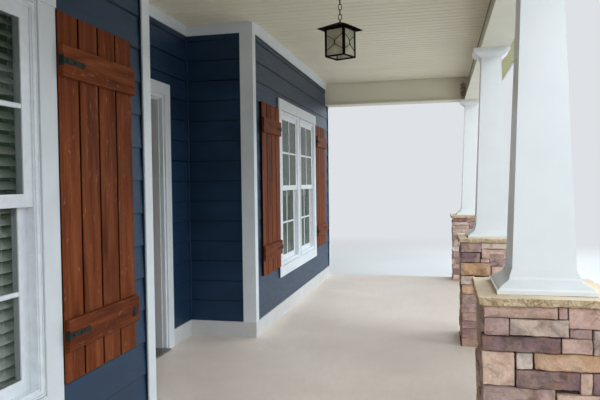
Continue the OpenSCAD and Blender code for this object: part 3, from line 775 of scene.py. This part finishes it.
board_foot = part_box("baseboards")[1].z
frieze_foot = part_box("frieze_boards")[0].z
beam_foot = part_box("front_beam")[0].z
wall_low, wall_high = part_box("right_wall")
recess_x = wall_low.x
recess_out = recess_x + wall_high.y
recess_back, door_back = (corner.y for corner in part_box("door_side_walls"))
corner_boards = solids("corner_boards")
corner_x = min(high.x for low, high in corner_boards if low.x > 0 and low.y < -SINK)
corner_inner = max(high.y for low, high in corner_boards)
end_board = max(low.x for low, high in corner_boards)
casing_low, casing_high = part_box("right_window_casing")
frame_low, frame_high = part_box("right_window_frame")
door_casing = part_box("door_casing")[1]
door_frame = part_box("door_frame")[1]
deck_low, deck_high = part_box("roof_deck")
deck_slope = (deck_high.z - DECK_T - deck_low.z) / (deck_high.y - deck_low.y)


def mirrored(sign, a, b):
    """Two places along X in rising order, on the side of the entry that sign gives"""
    return sorted((sign * a, sign * b))


# Siding

STREET_FACE = Side(0, 0, -1)
NO_HOLE = 0, 0, 0, 0


def opening(sign, low, high):
    """The hole that the siding is cut round for a box in a window wall"""
    return (*mirrored(sign, low.x, high.x), low.z, high.z)


def lap_feet(z0, z1):
    """The feet of the lap boards on a wall between two heights"""
    foot = board_foot + math.floor((z0 - board_foot) / LAP + 1e-6) * LAP
    while foot < z1 - SLIVER:
        yield foot
        foot += LAP


def lap_outs(foot, heights):
    """How far a lap board stands out at each of its heights; it is thickest at its foot"""
    return [LAP_BUTT + (LAP_HEAD - LAP_BUTT) * (z - foot) / LAP for z in heights]


def board(shape, side, start, end, heights, outs, **look):
    """A stretch of board on a wall. Each pair has a value at its foot and one at its top:
    where it starts and ends, its heights, and how far it stands out"""
    (z0, z1), (n0, n1) = heights, outs
    shape.prism(*([side.at(u0, 0, z0), side.at(u0, n0, z0), side.at(u1, n1, z1),
                   side.at(u1, 0, z1)] for u0, u1 in (start, end)), **look)


def laps(shape, side, u0, u1, z0, z1, hole=NO_HOLE):
    """Lap boards over a wall face, cut round a hole given as (u0, u1, z0, z1), with a slot
    under each board but the lowest, tinted near black as a painted shadow line"""
    for foot in lap_feet(z0, z1):
        tint = plain(shape.random.uniform(*LAP_TONES))
        low, high = max(foot, z0), min(foot + LAP, z1)
        cuts = sorted({low, high, *(z for z in hole[2:] if low < z < high)})
        for a, b in zip(cuts, cuts[1:]):
            beside = hole[2] < (a + b) / 2 < hole[3]
            spans = [(u0, min(hole[0], u1)), (max(hole[1], u0), u1)] if beside else [(u0, u1)]
            for left, right in spans:
                if right - left > SLIVER:
                    start, end, butt = (left, left), (right, right), a
                    if a == foot and z0 < foot:
                        butt = foot + LAP_SLOT
                        # The slot strip is tinted near black: a painted shadow under the board's
                        # butt
                        board(shape, side, start, end, (a, butt), (SLOT_OUT, SLOT_OUT),
                              tint=plain(SLOT_SHADE_TONE))
                    board(shape, side, start, end, (butt, b), lap_outs(foot, (butt, b)),
                          tint=tint, along=side.axis)


def channel(shape, u0, u1, z0, z1, tone=EDGE_SHADE_TONE):
    """A narrow channel beside a trim board, where the laps' ends stand, tinted dark as painted
    shade
    """
    shape.box((u0, -EDGE_STRIP_T, z0), (u1, 0, z1), TRIM_BEVEL, tint=plain(tone))


def make_window_wall(sign, name):
    """The siding on both faces of a window wall, and the channels at its trim"""
    shape = Shape(name)
    laps(shape, STREET_FACE, *mirrored(sign, corner_x, end_board), board_foot, frieze_foot,
         opening(sign, casing_low, casing_high))
    for x, way, z0, z1 in ((casing_low.x, -1, casing_low.z, casing_high.z),
                           (casing_high.x, 1, casing_low.z, casing_high.z),
                           (corner_x, 1, board_foot, frieze_foot),
                           (end_board, -1, board_foot, beam_foot)):
        channel(shape, *mirrored(sign, x, x + way * EDGE_STRIP), z0, z1)
    # A near-black strip under the frieze: a painted shadow line
    channel(shape, *mirrored(sign, corner_x, wall_high.x), frieze_foot - EDGE_STRIP,
            frieze_foot, FRIEZE_SHADE_TONE)
    laps(shape, Side(0, wall_high.y, 1), *mirrored(sign, recess_out, wall_high.x), wall_low.z,
         cad_high.z, opening(sign, frame_low, frame_high))
    shape.piece("siding_" + name, "siding", siding_blue)


def make_recess_wall(sign, name):
    """The siding in the recess on one side, a strip in its corner, and the wall's hidden face"""
    shape = Shape(name + " recess")
    laps(shape, Side(1, sign * recess_x, -sign), corner_inner, recess_back - CORNER_STRIP,
         board_foot, frieze_foot)
    laps(shape, Side(1, sign * recess_out, sign), wall_high.y + LAP_BUTT, door_back, wall_low.z,
         wall_high.z)
    x0, x1 = mirrored(sign, recess_x, recess_x - CORNER_STRIP)
    shape.box((x0, recess_back - CORNER_STRIP, board_foot), (x1, recess_back, frieze_foot))
    shape.piece("recess_siding_" + name, "siding", siding_blue)


def make_door_wall():
    """The siding round the door, in the recess and behind it"""
    shape = Shape("door wall")
    inner_x = recess_x - CORNER_STRIP
    laps(shape, Side(0, recess_back, -1), -inner_x, inner_x, board_foot, frieze_foot,
         (-door_casing.x, door_casing.x, 0, door_casing.z))
    laps(shape, Side(0, door_back, 1), -recess_out, recess_out, wall_low.z, wall_high.z,
         (-door_frame.x, door_frame.x, 0, door_frame.z))
    shape.piece("door_wall_siding", "siding", siding_blue)


def make_upper_wall():
    """The siding over the roof, and on its two end walls, cut along the slope"""
    shape = Shape("upper wall")
    low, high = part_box("upper_wall")
    laps(shape, STREET_FACE, low.x, high.x, deck_high.z, high.z)
    low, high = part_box("roof_ends")
    clear = 0.002

    def front(z):
        return max(low.y, deck_low.y + (z - deck_low.z + clear) / deck_slope)

    for sign in SIDES:
        side = Side(1, sign * high.x, sign)
        for foot in lap_feet(low.z, high.z):
            a, b = max(foot, low.z), min(foot + LAP, high.z)
            cuts = sorted({a, b, min(max(deck_low.z, a), b)})
            for heights in zip(cuts, cuts[1:]):
                board(shape, side, map(front, heights), (0, 0), heights,
                      lap_outs(foot, heights), along=1)
    shape.piece("upper_siding", "siding", siding_blue)


# Ceiling, soffit and the thin trim beside them

def planks(shape, x0, x1, y0, y1, z):
    """Planks along Y under a ceiling at height z, with a wider joint after each third"""
    low = z - PLANK_T
    for i in range(math.ceil((x1 - x0) / PLANK)):
        gap = PANEL_GAP if i % 3 == 2 else PLANK_GAP
        a, b = x0 + i * PLANK, min(x0 + (i + 1) * PLANK - gap, x1)
        outlines = [[(a, y, z), (b, y, z), (b, y, low + PLANK_BEVEL), (b - PLANK_BEVEL, y, low),
                     (a + PLANK_BEVEL, y, low), (a, y, low + PLANK_BEVEL)] for y in (y0, y1)]
        tint = plain(shape.random.uniform(*PLANK_TONES))
        shape.prism(*outlines, along=1, tint=tint)


def make_ceilings():
    """Planks under the ceiling, the recess and the soffit"""
    for name, node, finish, gap in (("ceiling_planks", "ceiling", ceiling_cream, CEILING_GAP),
                                    ("recess_planks", "alcove_ceiling", ceiling_cream, 0),
                                    ("soffit_planks", "eave_soffit", soffit_painted_bounce, 0)):
        low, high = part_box(node)
        shape = Shape(name)
        planks(shape, low.x + gap, high.x - gap, low.y + gap, high.y, low.z)
        shape.piece(name, "ceiling_board", finish)


def make_ceiling_trim():
    """A thin lath under the planks, along the window walls"""
    shape = Shape("trim")
    low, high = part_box("ceiling")
    z = low.z - PLANK_T
    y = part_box("frieze_boards")[0].y
    for sign in SIDES:
        a, b = mirrored(sign, recess_x, high.x)
        shape.box((a, y - LATH_W, z - LATH_T), (b, y, z), TRIM_BEVEL)
    shape.piece("ceiling_trim", "white_trim", white_paint)


# Stone piers

STONES = {
    "mauve": srgb(200, 168, 162), "dark": srgb(156, 124, 124), "brown": srgb(208, 172, 156),
    "tan": srgb(232, 198, 178), "orange": srgb(230, 182, 142), "pink": srgb(238, 198, 184),
    "grey": srgb(222, 200, 190), "cream": srgb(242, 222, 208)}

# The visible stones of two piers, from their porch corner and from the cap's top, in mm
NEAR_STONES = [
    (0, 293, 43, 92, "brown"), (297, 330, 43, 92, "mauve"), (333, 520, 43, 127, "pink"),
    (0, 107, 94, 165, "mauve"), (110, 333, 96, 164, "grey"), (337, 420, 130, 167, "mauve"),
    (423, 520, 130, 230, "grey"), (0, 303, 168, 228, "dark"), (307, 420, 168, 228, "pink"),
    (0, 130, 231, 372, "tan"), (133, 199, 231, 298, "cream"), (203, 520, 232, 300, "orange"),
    (133, 373, 302, 375, "dark"), (376, 420, 303, 388, "tan"), (423, 520, 303, 388, "dark"),
    (0, 283, 376, 452, "mauve"), (287, 520, 391, 452, "tan")]
MID_STONES = [
    (0, 163, 43, 123, "mauve"), (167, 392, 43, 92, "cream"), (396, 520, 43, 130, "tan"),
    (167, 392, 96, 173, "pink"), (0, 154, 126, 205, "dark"), (158, 228, 176, 205, "pink"),
    (232, 520, 134, 230, "mauve"), (0, 238, 209, 312, "orange"), (242, 520, 234, 330, "pink"),
    (0, 110, 316, 386, "cream"), (114, 300, 334, 400, "mauve"), (304, 520, 334, 430, "grey"),
    (0, 127, 390, 465, "orange"), (131, 300, 404, 470, "brown"), (0, 140, 469, 543, "mauve"),
    (144, 300, 474, 540, "tan"), (304, 520, 434, 540, "dark")]


def stone_tint(rng, kind):
    """A stone's own colour, a little lighter or darker than its kind"""
    colour = STONES[kind or rng.choice(sorted(STONES))]
    tone = rng.uniform(*STONE_TONES)
    return tuple(min(1.0, c * tone) for c in colour[:3]) + (1.0,)


def seeded_courses(rng, z0, z1):
    """Heights of the courses between two levels"""
    levels = [z0]
    while z1 - levels[-1] > TALLEST_COURSE:
        levels.append(levels[-1] + rng.uniform(*COURSE))
    return levels + [z1]


class Pier(Shape):
    """Split stones round a dark bed, over one pier's solid. A face is given by the axis that
    it runs along and by its side; u is from the left, or along Y from the porch corner"""

    def __init__(self, seed, low, high):
        super().__init__(seed)
        self.centre = (low + high) / 2
        self.half = (high.x - low.x) / 2

    def stone(self, axis, sign, u0, u1, z0, z1, depth, kind=None):
        """One stone, which stands a little in from the pier's face"""
        rng, half, g = self.random, self.half, STONE_GAP / 2
        out = half + rng.uniform(*STONE_OUT)
        near, far = sorted((sign * out, sign * (out - depth)))
        if u0 < SLIVER:
            u0 += rng.uniform(0, STONE_SET_BACK)
        if axis:
            a, b = sorted((half - u0 - g, half - u1 + g))
            low, high = (near, a, z0 + g), (far, b, z1 - g)
        else:
            low, high = (u0 - half + g, near, z0 + g), (u1 - half - g, far, z1 - g)
        offset = Vector((self.centre.x, self.centre.y, 0))
        tint = stone_tint(rng, kind)
        self.rough(Vector(low) + offset, Vector(high) + offset, STONE_CELL,
                   rng.uniform(*STONE_ROUND), STONE_WOBBLE, outward=1 - axis, tint=tint,
                   along=axis)

    def course(self, axis, sign, u0, u1, z0, z1, end_depth):
        """Stones of seeded widths along one course; a tall one is sometimes two thin ones"""
        rng, u = self.random, u0
        while u < u1 - SLIVER:
            width = rng.uniform(*STONE_WIDTH)
            if u1 - u - width < LEAST_WIDTH:
                width = u1 - u
            at_end = u == u0 or u + width > u1 - SLIVER
            depth = end_depth if at_end else STONE_DEPTH
            cuts = [z0, z1]
            if z1 - z0 > SPLIT_OVER and width > SPLIT_WIDTH and rng.random() < SPLIT_CHANCE:
                cuts.insert(1, z0 + (z1 - z0) * rng.uniform(*SPLIT_AT))
            for a, b in zip(cuts, cuts[1:]):
                self.stone(axis, sign, u, u + width, a, b, depth)
            u += width

    def build(self, low, high, listed):
        """The dark bed, the listed stones, and courses of seeded ones over the rest"""
        rng, width = self.random, high.x - low.x
        bed = self.half - MORTAR_INSET
        self.box((self.centre.x - bed, self.centre.y - bed, low.z),
                 (self.centre.x + bed, self.centre.y + bed, high.z), slot=1)
        listed_foot = high.z
        for u0, u1, d0, d1, kind in listed:
            z1, z0 = high.z + CAP_T - d0 / 1000, high.z + CAP_T - d1 / 1000
            listed_foot = min(listed_foot, z0)
            self.stone(1, -1, u0 / 1000, u1 / 1000, z0, z1, LISTED_DEPTH, kind)
        levels = seeded_courses(rng, low.z, high.z)
        for a, b in zip(levels, levels[1:]):
            ends = {}
            for sign in SIDES:
                ends[sign] = rng.uniform(*END_DEPTH)
                stop = min(b, listed_foot) if sign < 0 else b
                if stop - a > LEAST_COURSE:
                    self.course(1, sign, 0, width, a, stop, ends[sign])
            if listed and b > listed_foot - LEAST_COURSE:
                ends[-1] = LISTED_DEPTH
            for sign in SIDES:
                self.course(0, sign, ends[-1], width - ends[1], a, b, STONE_DEPTH)
        self.points = [clamp(p, low, high) for p in self.points]


def make_piers():
    """The four piers; two have the stones that the photograph shows"""
    listed = {1: NEAR_STONES, 2: MID_STONES}
    for i, (low, high) in enumerate(solids("piers")):
        pier = Pier("pier%d" % i, low, high)
        pier.build(low, high, listed.get(i, []))
        pier.piece("pier_%d" % (i + 1), "pier_stone", ledge_stone, mortar_bed,
                   replaces=["piers"] if i == 0 else [], smooth=True)


def make_caps():
    """Rough-edged flagstones on the piers, kept inside the solids' box"""
    shape = Shape("caps")
    inset, edge = Vector((CAP_INSET, CAP_INSET, 0)), 0.001
    for low, high in solids("pier_caps"):
        shape.rough(low + inset, high - inset, CAP_CELL, CAP_ROUND, CAP_WOBBLE, along=0)
    least = cad_low.x + edge, cad_low.y + edge, low.z
    most = cad_high.x - edge, cad_high.y, high.z - edge
    shape.points = [clamp(p, least, most) for p in shape.points]
    shape.piece("flagstone_caps", "cap_stone", cap_flagstone, replaces=["pier_caps"],
                smooth=True)


# Shutters

def window_heading(low, high):
    """1 where a shutter or strap has its window on the side of -X, and -1 on the other side"""
    window_x = math.copysign((casing_low.x + casing_high.x) / 2, low.x + high.x)
    return 1 if low.x > window_x else -1


def make_shutter(number):
    """Four boards, two battens and four spacers of stained timber; behind a thin front skin each
    board is tinted near black as painted shade in the gaps
    """
    low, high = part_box("shutter_%d" % number)
    shape = Shape("shutter%d" % number)
    rng = shape.random
    if window_heading(low, high) > 0:
        x0, x1 = low.x, high.x - BATTEN_EAR
        batten0, batten1 = x0 + BATTEN_IN, high.x
    else:
        x0, x1 = low.x + BATTEN_EAR, high.x
        batten0, batten1 = low.x, x1 - BATTEN_IN
    width = (x1 - x0 - (BOARDS - 1) * BOARD_GAP) / BOARDS
    front = -SHUTTER_OFF - BOARD_T
    skin = front + BOARD_SKIN
    for i in range(BOARDS):
        a = x0 + i * (width + BOARD_GAP)
        trim = rng.uniform(0, BOARD_TRIM)
        tone = rng.uniform(*BOARD_TONES)
        # Behind its front skin the board is tinted near black: painted shade in the gaps between
        # boards
        for y0, y1, bevel, tone in ((front, skin, WOOD_BEVEL, tone),
                                    (skin, -SHUTTER_OFF, THIN_BEVEL, BACK_SHADE_TONE)):
            shape.box((a, y0, low.z + trim), (a + width, y1, high.z - trim), bevel,
                      tint=plain(tone))
    for z in (low.z + BATTEN_LOW, high.z - BATTEN_HIGH - BATTEN_H):
        shape.box((batten0, low.y, z), (batten1, front, z + BATTEN_H), WOOD_BEVEL,
                  tint=plain(rng.uniform(*BATTEN_TONES)), along=0)
        for x in (x0 + width / 2, x1 - width / 2):
            middle = z + BATTEN_H / 2
            shape.bar((x, 0, middle), (x, -SHUTTER_OFF, middle), SPACER_R, 12)
    shape.piece("shutter_boards_%d" % number, "shutter_wood", shutter_wood,
                replaces=["shutter_%d" % number])


def make_strap_bolts():
    """Bolt heads on the straps, and a drop-shaped pull on the near shutter"""
    shape = Shape("bolts")
    for low, high in solids("shutter_straps"):
        heading = window_heading(low, high)
        start = low.x if heading > 0 else high.x
        z = (low.z + high.z) / 2
        for u in STRAP_BOLTS:
            x = start + heading * u
            shape.rough((x - BOLT_R, low.y - BOLT_H, z - BOLT_R),
                        (x + BOLT_R, low.y + SINK, z + BOLT_R), cell=0.004, round_r=0.0025,
                        wobble=0.0)
    low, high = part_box("shutter_2")
    x = high.x - PULL_IN if window_heading(low, high) > 0 else low.x + PULL_IN
    z = low.z + BATTEN_LOW + BATTEN_H * PULL_UP
    taper, narrow = 0.6, 0.35
    shape.prism(*([(x + share * PULL_R * math.sin(a) * (1 - narrow * math.cos(a)), y,
                    z + share * PULL_H * math.cos(a)) for a in turns(24)]
                  for share, y in ((1, low.y), (taper, low.y - PULL_T))))
    shape.piece("shutter_bolts", "black_iron", black_iron)


# Lantern

def make_lantern_posts():
    """Angle posts over the lantern's four corners"""
    shape = Shape("posts")
    low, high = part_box("lantern_glass")
    middle = (low + high) / 2
    turn = Matrix.Rotation(-LANTERN_TURN, 3, "Z")
    far = LANTERN_HALF + POST_PROUD
    near, inner = far - LANTERN_POST, far - POST_T
    outline = ((far, far), (near, far), (near, inner), (inner, inner), (inner, near), (far, near))
    for sx, sy in itertools.product(SIDES, repeat=2):
        shape.prism(*([middle + turn @ Vector((sx * x, sy * y, z - middle.z)) for x, y in outline]
                      for z in (low.z, high.z)))
    shape.piece("lantern_posts", "lantern_bronze", lantern_bronze, body="lantern")


# Windows

def make_muntins():
    """A cross of bars on each pane"""
    shape = Shape("muntins")
    half = MUNTIN_W / 2
    for low, high in solids("window_glass"):
        x, z = (low.x + high.x) / 2, (low.z + high.z) / 2
        y0, y1 = low.y - MUNTIN_T, low.y + SINK
        shape.box((x - half, y0, low.z), (x + half, y1, high.z), ROUND_BEVEL)
        shape.box((low.x, y0, z - half), (high.x, y1, z + half), ROUND_BEVEL)
    shape.piece("window_muntins", "window_vinyl", window_vinyl)


def frame_bead(shape, x0, x1, near, far, rise, slot):
    """A flat moulding round a window frame's face, between two distances from its edge"""
    y0, y1 = frame_low.y - rise, frame_low.y + SINK
    z0, z1 = frame_low.z, frame_high.z
    for a, b in ((x0 + near, x0 + far), (x1 - far, x1 - near)):
        shape.box((a, y0, z0 + near), (b, y1, z1 - near), THIN_BEVEL, slot=slot)
    for a, b in ((z0 + near, z0 + far), (z1 - far, z1 - near)):
        shape.box((x0 + far, y0, a), (x1 - far, y1, b), THIN_BEVEL, slot=slot)


def make_frame_beads():
    """Beads, and grooves that are thin near-black strips of painted shade, round each window,
    which is centred on its blind
    """
    shape = Shape("beads")
    blinds = solids("window_blinds")
    width = max(high.x - low.x for low, high in blinds) + FRAME_PLAY
    for low, high in blinds:
        x0, x1 = ((low.x + high.x + side * width) / 2 for side in SIDES)
        for rings, rise, slot in ((BEADS, BEAD_T, 0), (GROOVES, GROOVE_T, 1)):
            for near, far in rings:
                frame_bead(shape, x0, x1, near, far, rise, slot)
    shape.piece("window_frame_beads", "window_vinyl", window_vinyl, painted_shade)


def slat(shape, x0, x1, y, z, tilt):
    """A thin bowed slat, tilted down towards the glass"""
    steps = [-1, -0.5, 0, 0.5, 1]
    outline = [(SLAT_W / 2 * t, SLAT_BOW * (1 - t * t) + SLAT_T / 2) for t in steps]
    outline += [(a, b - SLAT_T) for a, b in reversed(outline)]
    cos, sin = math.cos(tilt), math.sin(tilt)
    shape.prism(*([(x, y + a * cos - b * sin, z + a * sin + b * cos) for a, b in outline]
                  for x in (x0, x1)), along=0)


def make_blind(number, low, high):
    """A lowered blind: rails, slats and cords, with a near-black sheet behind as painted shade of
    the unlit room
    """
    shape = Shape("blind%d" % number)
    y = (low.y + high.y) / 2 - BLIND_FORWARD
    rail = high.z - HEAD_RAIL
    shape.box((low.x, low.y, rail), (high.x, high.y - RAIL_BACK, high.z))
    shape.box((low.x, y - RAIL_HALF, low.z), (high.x, y + RAIL_HALF, low.z + FOOT_RAIL),
              ROUND_BEVEL)
    z = low.z + FOOT_RAIL + SLAT_PITCH * FIRST_SLAT
    while z < rail - SLAT_PITCH * LAST_SLAT:
        tilt = SLAT_TILT + shape.random.uniform(-SLAT_SWAY, SLAT_SWAY)
        slat(shape, low.x + SLAT_IN, high.x - SLAT_IN, y, z, tilt)
        z += SLAT_PITCH
    for x in (low.x + CORD_IN, (low.x + high.x) / 2, high.x - CORD_IN):
        for side in SIDES:
            cord_y = y + side * CORD_OUT
            shape.bar((x, cord_y, low.z + CORD_FOOT), (x, cord_y, rail), CORD_R, 4)
    # A near-black sheet behind the slats: painted shade of the unlit room
    shape.box((low.x, high.y - SHADE_SHEET_T, low.z), high, THIN_BEVEL, slot=1)
    shape.piece("blind_%d" % (number + 1), "blind_slat", blind_white, painted_shade,
                replaces=["window_blinds"] if number == 0 else [])


# The door's leaded light

def make_door_light():
    """Diamonds of lead came on both faces of the door's glass"""
    shape = Shape("came")
    low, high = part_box("door_glass")
    x_mid = (low.x + high.x) / 2
    rows = math.ceil((high.z - low.z) / DIAMOND_H)
    for y0, y1 in ((low.y - CAME_T, low.y + SINK), (high.y - SINK, high.y + CAME_T)):
        for slope in (-DIAMOND_H / DIAMOND_W, DIAMOND_H / DIAMOND_W):
            for k in range(-rows, rows + 1):
                z_mid = (low.z + high.z) / 2 + (k + 0.5) * DIAMOND_H
                ends = []
                for x in (low.x, high.x):
                    z = min(max(z_mid + slope * (x - x_mid), low.z), high.z)
                    ends.append(Vector((x_mid + (z - z_mid) / slope, z)))
                run = ends[1] - ends[0]
                if run.length > LEAST_CAME:
                    side = Vector((-run.y, run.x)).normalized() * CAME_HALF
                    face = ends[0] + side, ends[1] + side, ends[1] - side, ends[0] - side
                    shape.prism(*([(x, y, z) for x, z in face] for y in (y0, y1)))
    shape.piece("door_cames", "black_iron", lead_came, body="door")


# Roof

def make_roof():
    """Shingles in staggered courses over the deck"""
    low, high = deck_low, deck_high
    base = DECK_T - SHINGLE_T
    shape = Shape("roof")

    def top(y):
        return low.z + (y - low.y) * deck_slope + base

    shape.prism(*([(x, low.y, low.z), (x, low.y, top(low.y)), (x, high.y, top(high.y)),
                   (x, high.y, top(high.y) - base)] for x in (low.x, high.x)),
                tint=plain(DECK_TONE))
    step = SHINGLE_RUN * math.cos(math.atan(deck_slope))
    for row in range(math.ceil((high.y - low.y) / step)):
        y0 = low.y + row * step
        y1 = min(y0 + step * SHINGLE_LAP, high.y)
        x = low.x - (SHINGLE_W / 2 if row % 2 else 0) - shape.random.uniform(0, SHINGLE_SHIFT)
        while x < high.x:
            a, b = max(x, low.x), min(x + SHINGLE_W - SHINGLE_GAP, high.x)
            if b - a > SHINGLE_LEAST:
                tint = plain(shape.random.uniform(*SHINGLE_TONES))
                shape.prism(*([(x, y0, top(y0)), (x, y0, top(y0) + SHINGLE_T),
                               (x, y1, top(y1) + SHINGLE_TIP), (x, y1, top(y1))]
                              for x in (a, b)), tint=tint)
            x += SHINGLE_W
    shape.piece("shingled_roof", "shingles", roof_shingles, replaces=["roof_deck"])


# Camera, lamps and stage

BACKDROP = srgb(222, 225, 229)
LAMP_COLOUR = (0.82, 0.93, 1.0)
CAMERA_PLACE = (-4.05766, -1.59398, 1.51418)
CAMERA_YAW, CAMERA_DOWN, CAMERA_ROLL = 0.22834, 0.02975, -0.0125


def make_camera():
    """The photograph's view: 36 mm lens on a 36 mm frame, looking along the porch"""
    data = bpy.data.cameras.new("camera")
    data.lens = 36
    data.sensor_width = 36
    data.clip_start = 0.01
    camera = add_object("camera", data)
    level = math.pi / 2
    camera.matrix_world = (Matrix.Translation(CAMERA_PLACE)
                           @ Matrix.Rotation(CAMERA_YAW - level, 4, "Z")
                           @ Matrix.Rotation(level - CAMERA_DOWN, 4, "X")
                           @ Matrix.Rotation(CAMERA_ROLL, 4, "Z"))
    bpy.context.scene.camera = camera


def lamp(name, place, target, width, height, watts):
    """A soft rectangular lamp that faces a target"""
    data = bpy.data.lights.new(name, "AREA")
    data.shape = "RECTANGLE"
    data.size, data.size_y = width, height
    data.energy = watts
    data.color = LAMP_COLOUR
    obj = add_object(name, data)
    obj.location = place
    obj.rotation_mode = "QUATERNION"
    obj.rotation_quaternion = (Vector(target) - Vector(place)).to_track_quat("-Z", "Y")


def make_light():
    """Soft light from the street side and both ends, and a background that is dimmer as
    light than the camera, metal and glass see it"""
    lamp("street", (3.6, -8.5, 5.6), (3.0, 0, 0.8), 12, 4, 800)
    lamp("far_end", (9.5, -4.5, 5.5), (2.0, -1.5, 0.3), 4, 4, 280)
    lamp("near_end", (-13, -6.8, 6.8), (-0.5, -2.0, 0.8), 5, 5, 980)
    world = bpy.data.worlds.new("studio")
    bpy.context.scene.world = world
    world.use_nodes = True
    sky = Nodes(world.node_tree)
    rays = sky.node("LightPath").outputs
    seen = sky.math("MAXIMUM", rays["Is Camera Ray"], rays["Is Glossy Ray"])
    seen = sky.math("MAXIMUM", seen, rays["Is Transmission Ray"])
    level = sky.node("MapRange", {"Value": seen, "To Min": 0.5, "To Max": 1.0})
    background = sky.tree.nodes["Background"].inputs
    sky.put(background["Color"], BACKDROP)
    sky.put(background["Strength"], level.outputs["Result"])
    bpy.context.scene.view_settings.view_transform = "Standard"


def make_stage():
    """A wide pale floor at grade that turns into the background's colour far out"""
    f = Finish("stage_pale", 0.9, specular=0.1)
    clouds = f.noise(f.place(), 0.6, 3)
    pale = f.done(f.fade(clouds, srgb(217, 217, 216), srgb(222, 222, 221)))
    away = f.node("VectorMath", {0: f.place()}, operation="LENGTH").outputs["Value"]
    seen = f.node("LightPath").outputs["Is Camera Ray"]
    share = f.math("MULTIPLY", seen, f.ramp(f.math("DIVIDE", away, 20.0), (0.3, 0.0), (0.62, 1.0)))
    glow = f.node("Emission", {"Color": BACKDROP, "Strength": 1.0}).outputs["Emission"]
    blend = f.node("MixShader", {0: share, 1: f.shader.outputs["BSDF"], 2: glow})
    f.put(f.tree.nodes["Material Output"].inputs["Surface"], blend.outputs["Shader"])
    reach, drop = 60, 0.001
    mesh = bpy.data.meshes.new("stage_floor")
    mesh.from_pydata([((2 * i - 1) * reach, (2 * j - 1) * reach, 0) for i, j in SQUARE], [],
                     [(0, 1, 2, 3)])
    mesh.materials.append(pale)
    floor = add_object("stage_floor", mesh)
    floor.location.z = -drop


make_camera()
dress_nodes()
for sign, name in zip(SIDES, ("left", "right")):
    make_window_wall(sign, name)
    make_recess_wall(sign, name)
make_door_wall()
make_upper_wall()
make_ceilings()
make_ceiling_trim()
make_piers()
make_caps()
for number in range(1, 5):
    make_shutter(number)
make_strap_bolts()
make_lantern_posts()
make_muntins()
make_frame_beads()
for number, (low, high) in enumerate(solids("window_blinds")):
    make_blind(number, low, high)
make_door_light()
make_roof()
make_light()
make_stage()
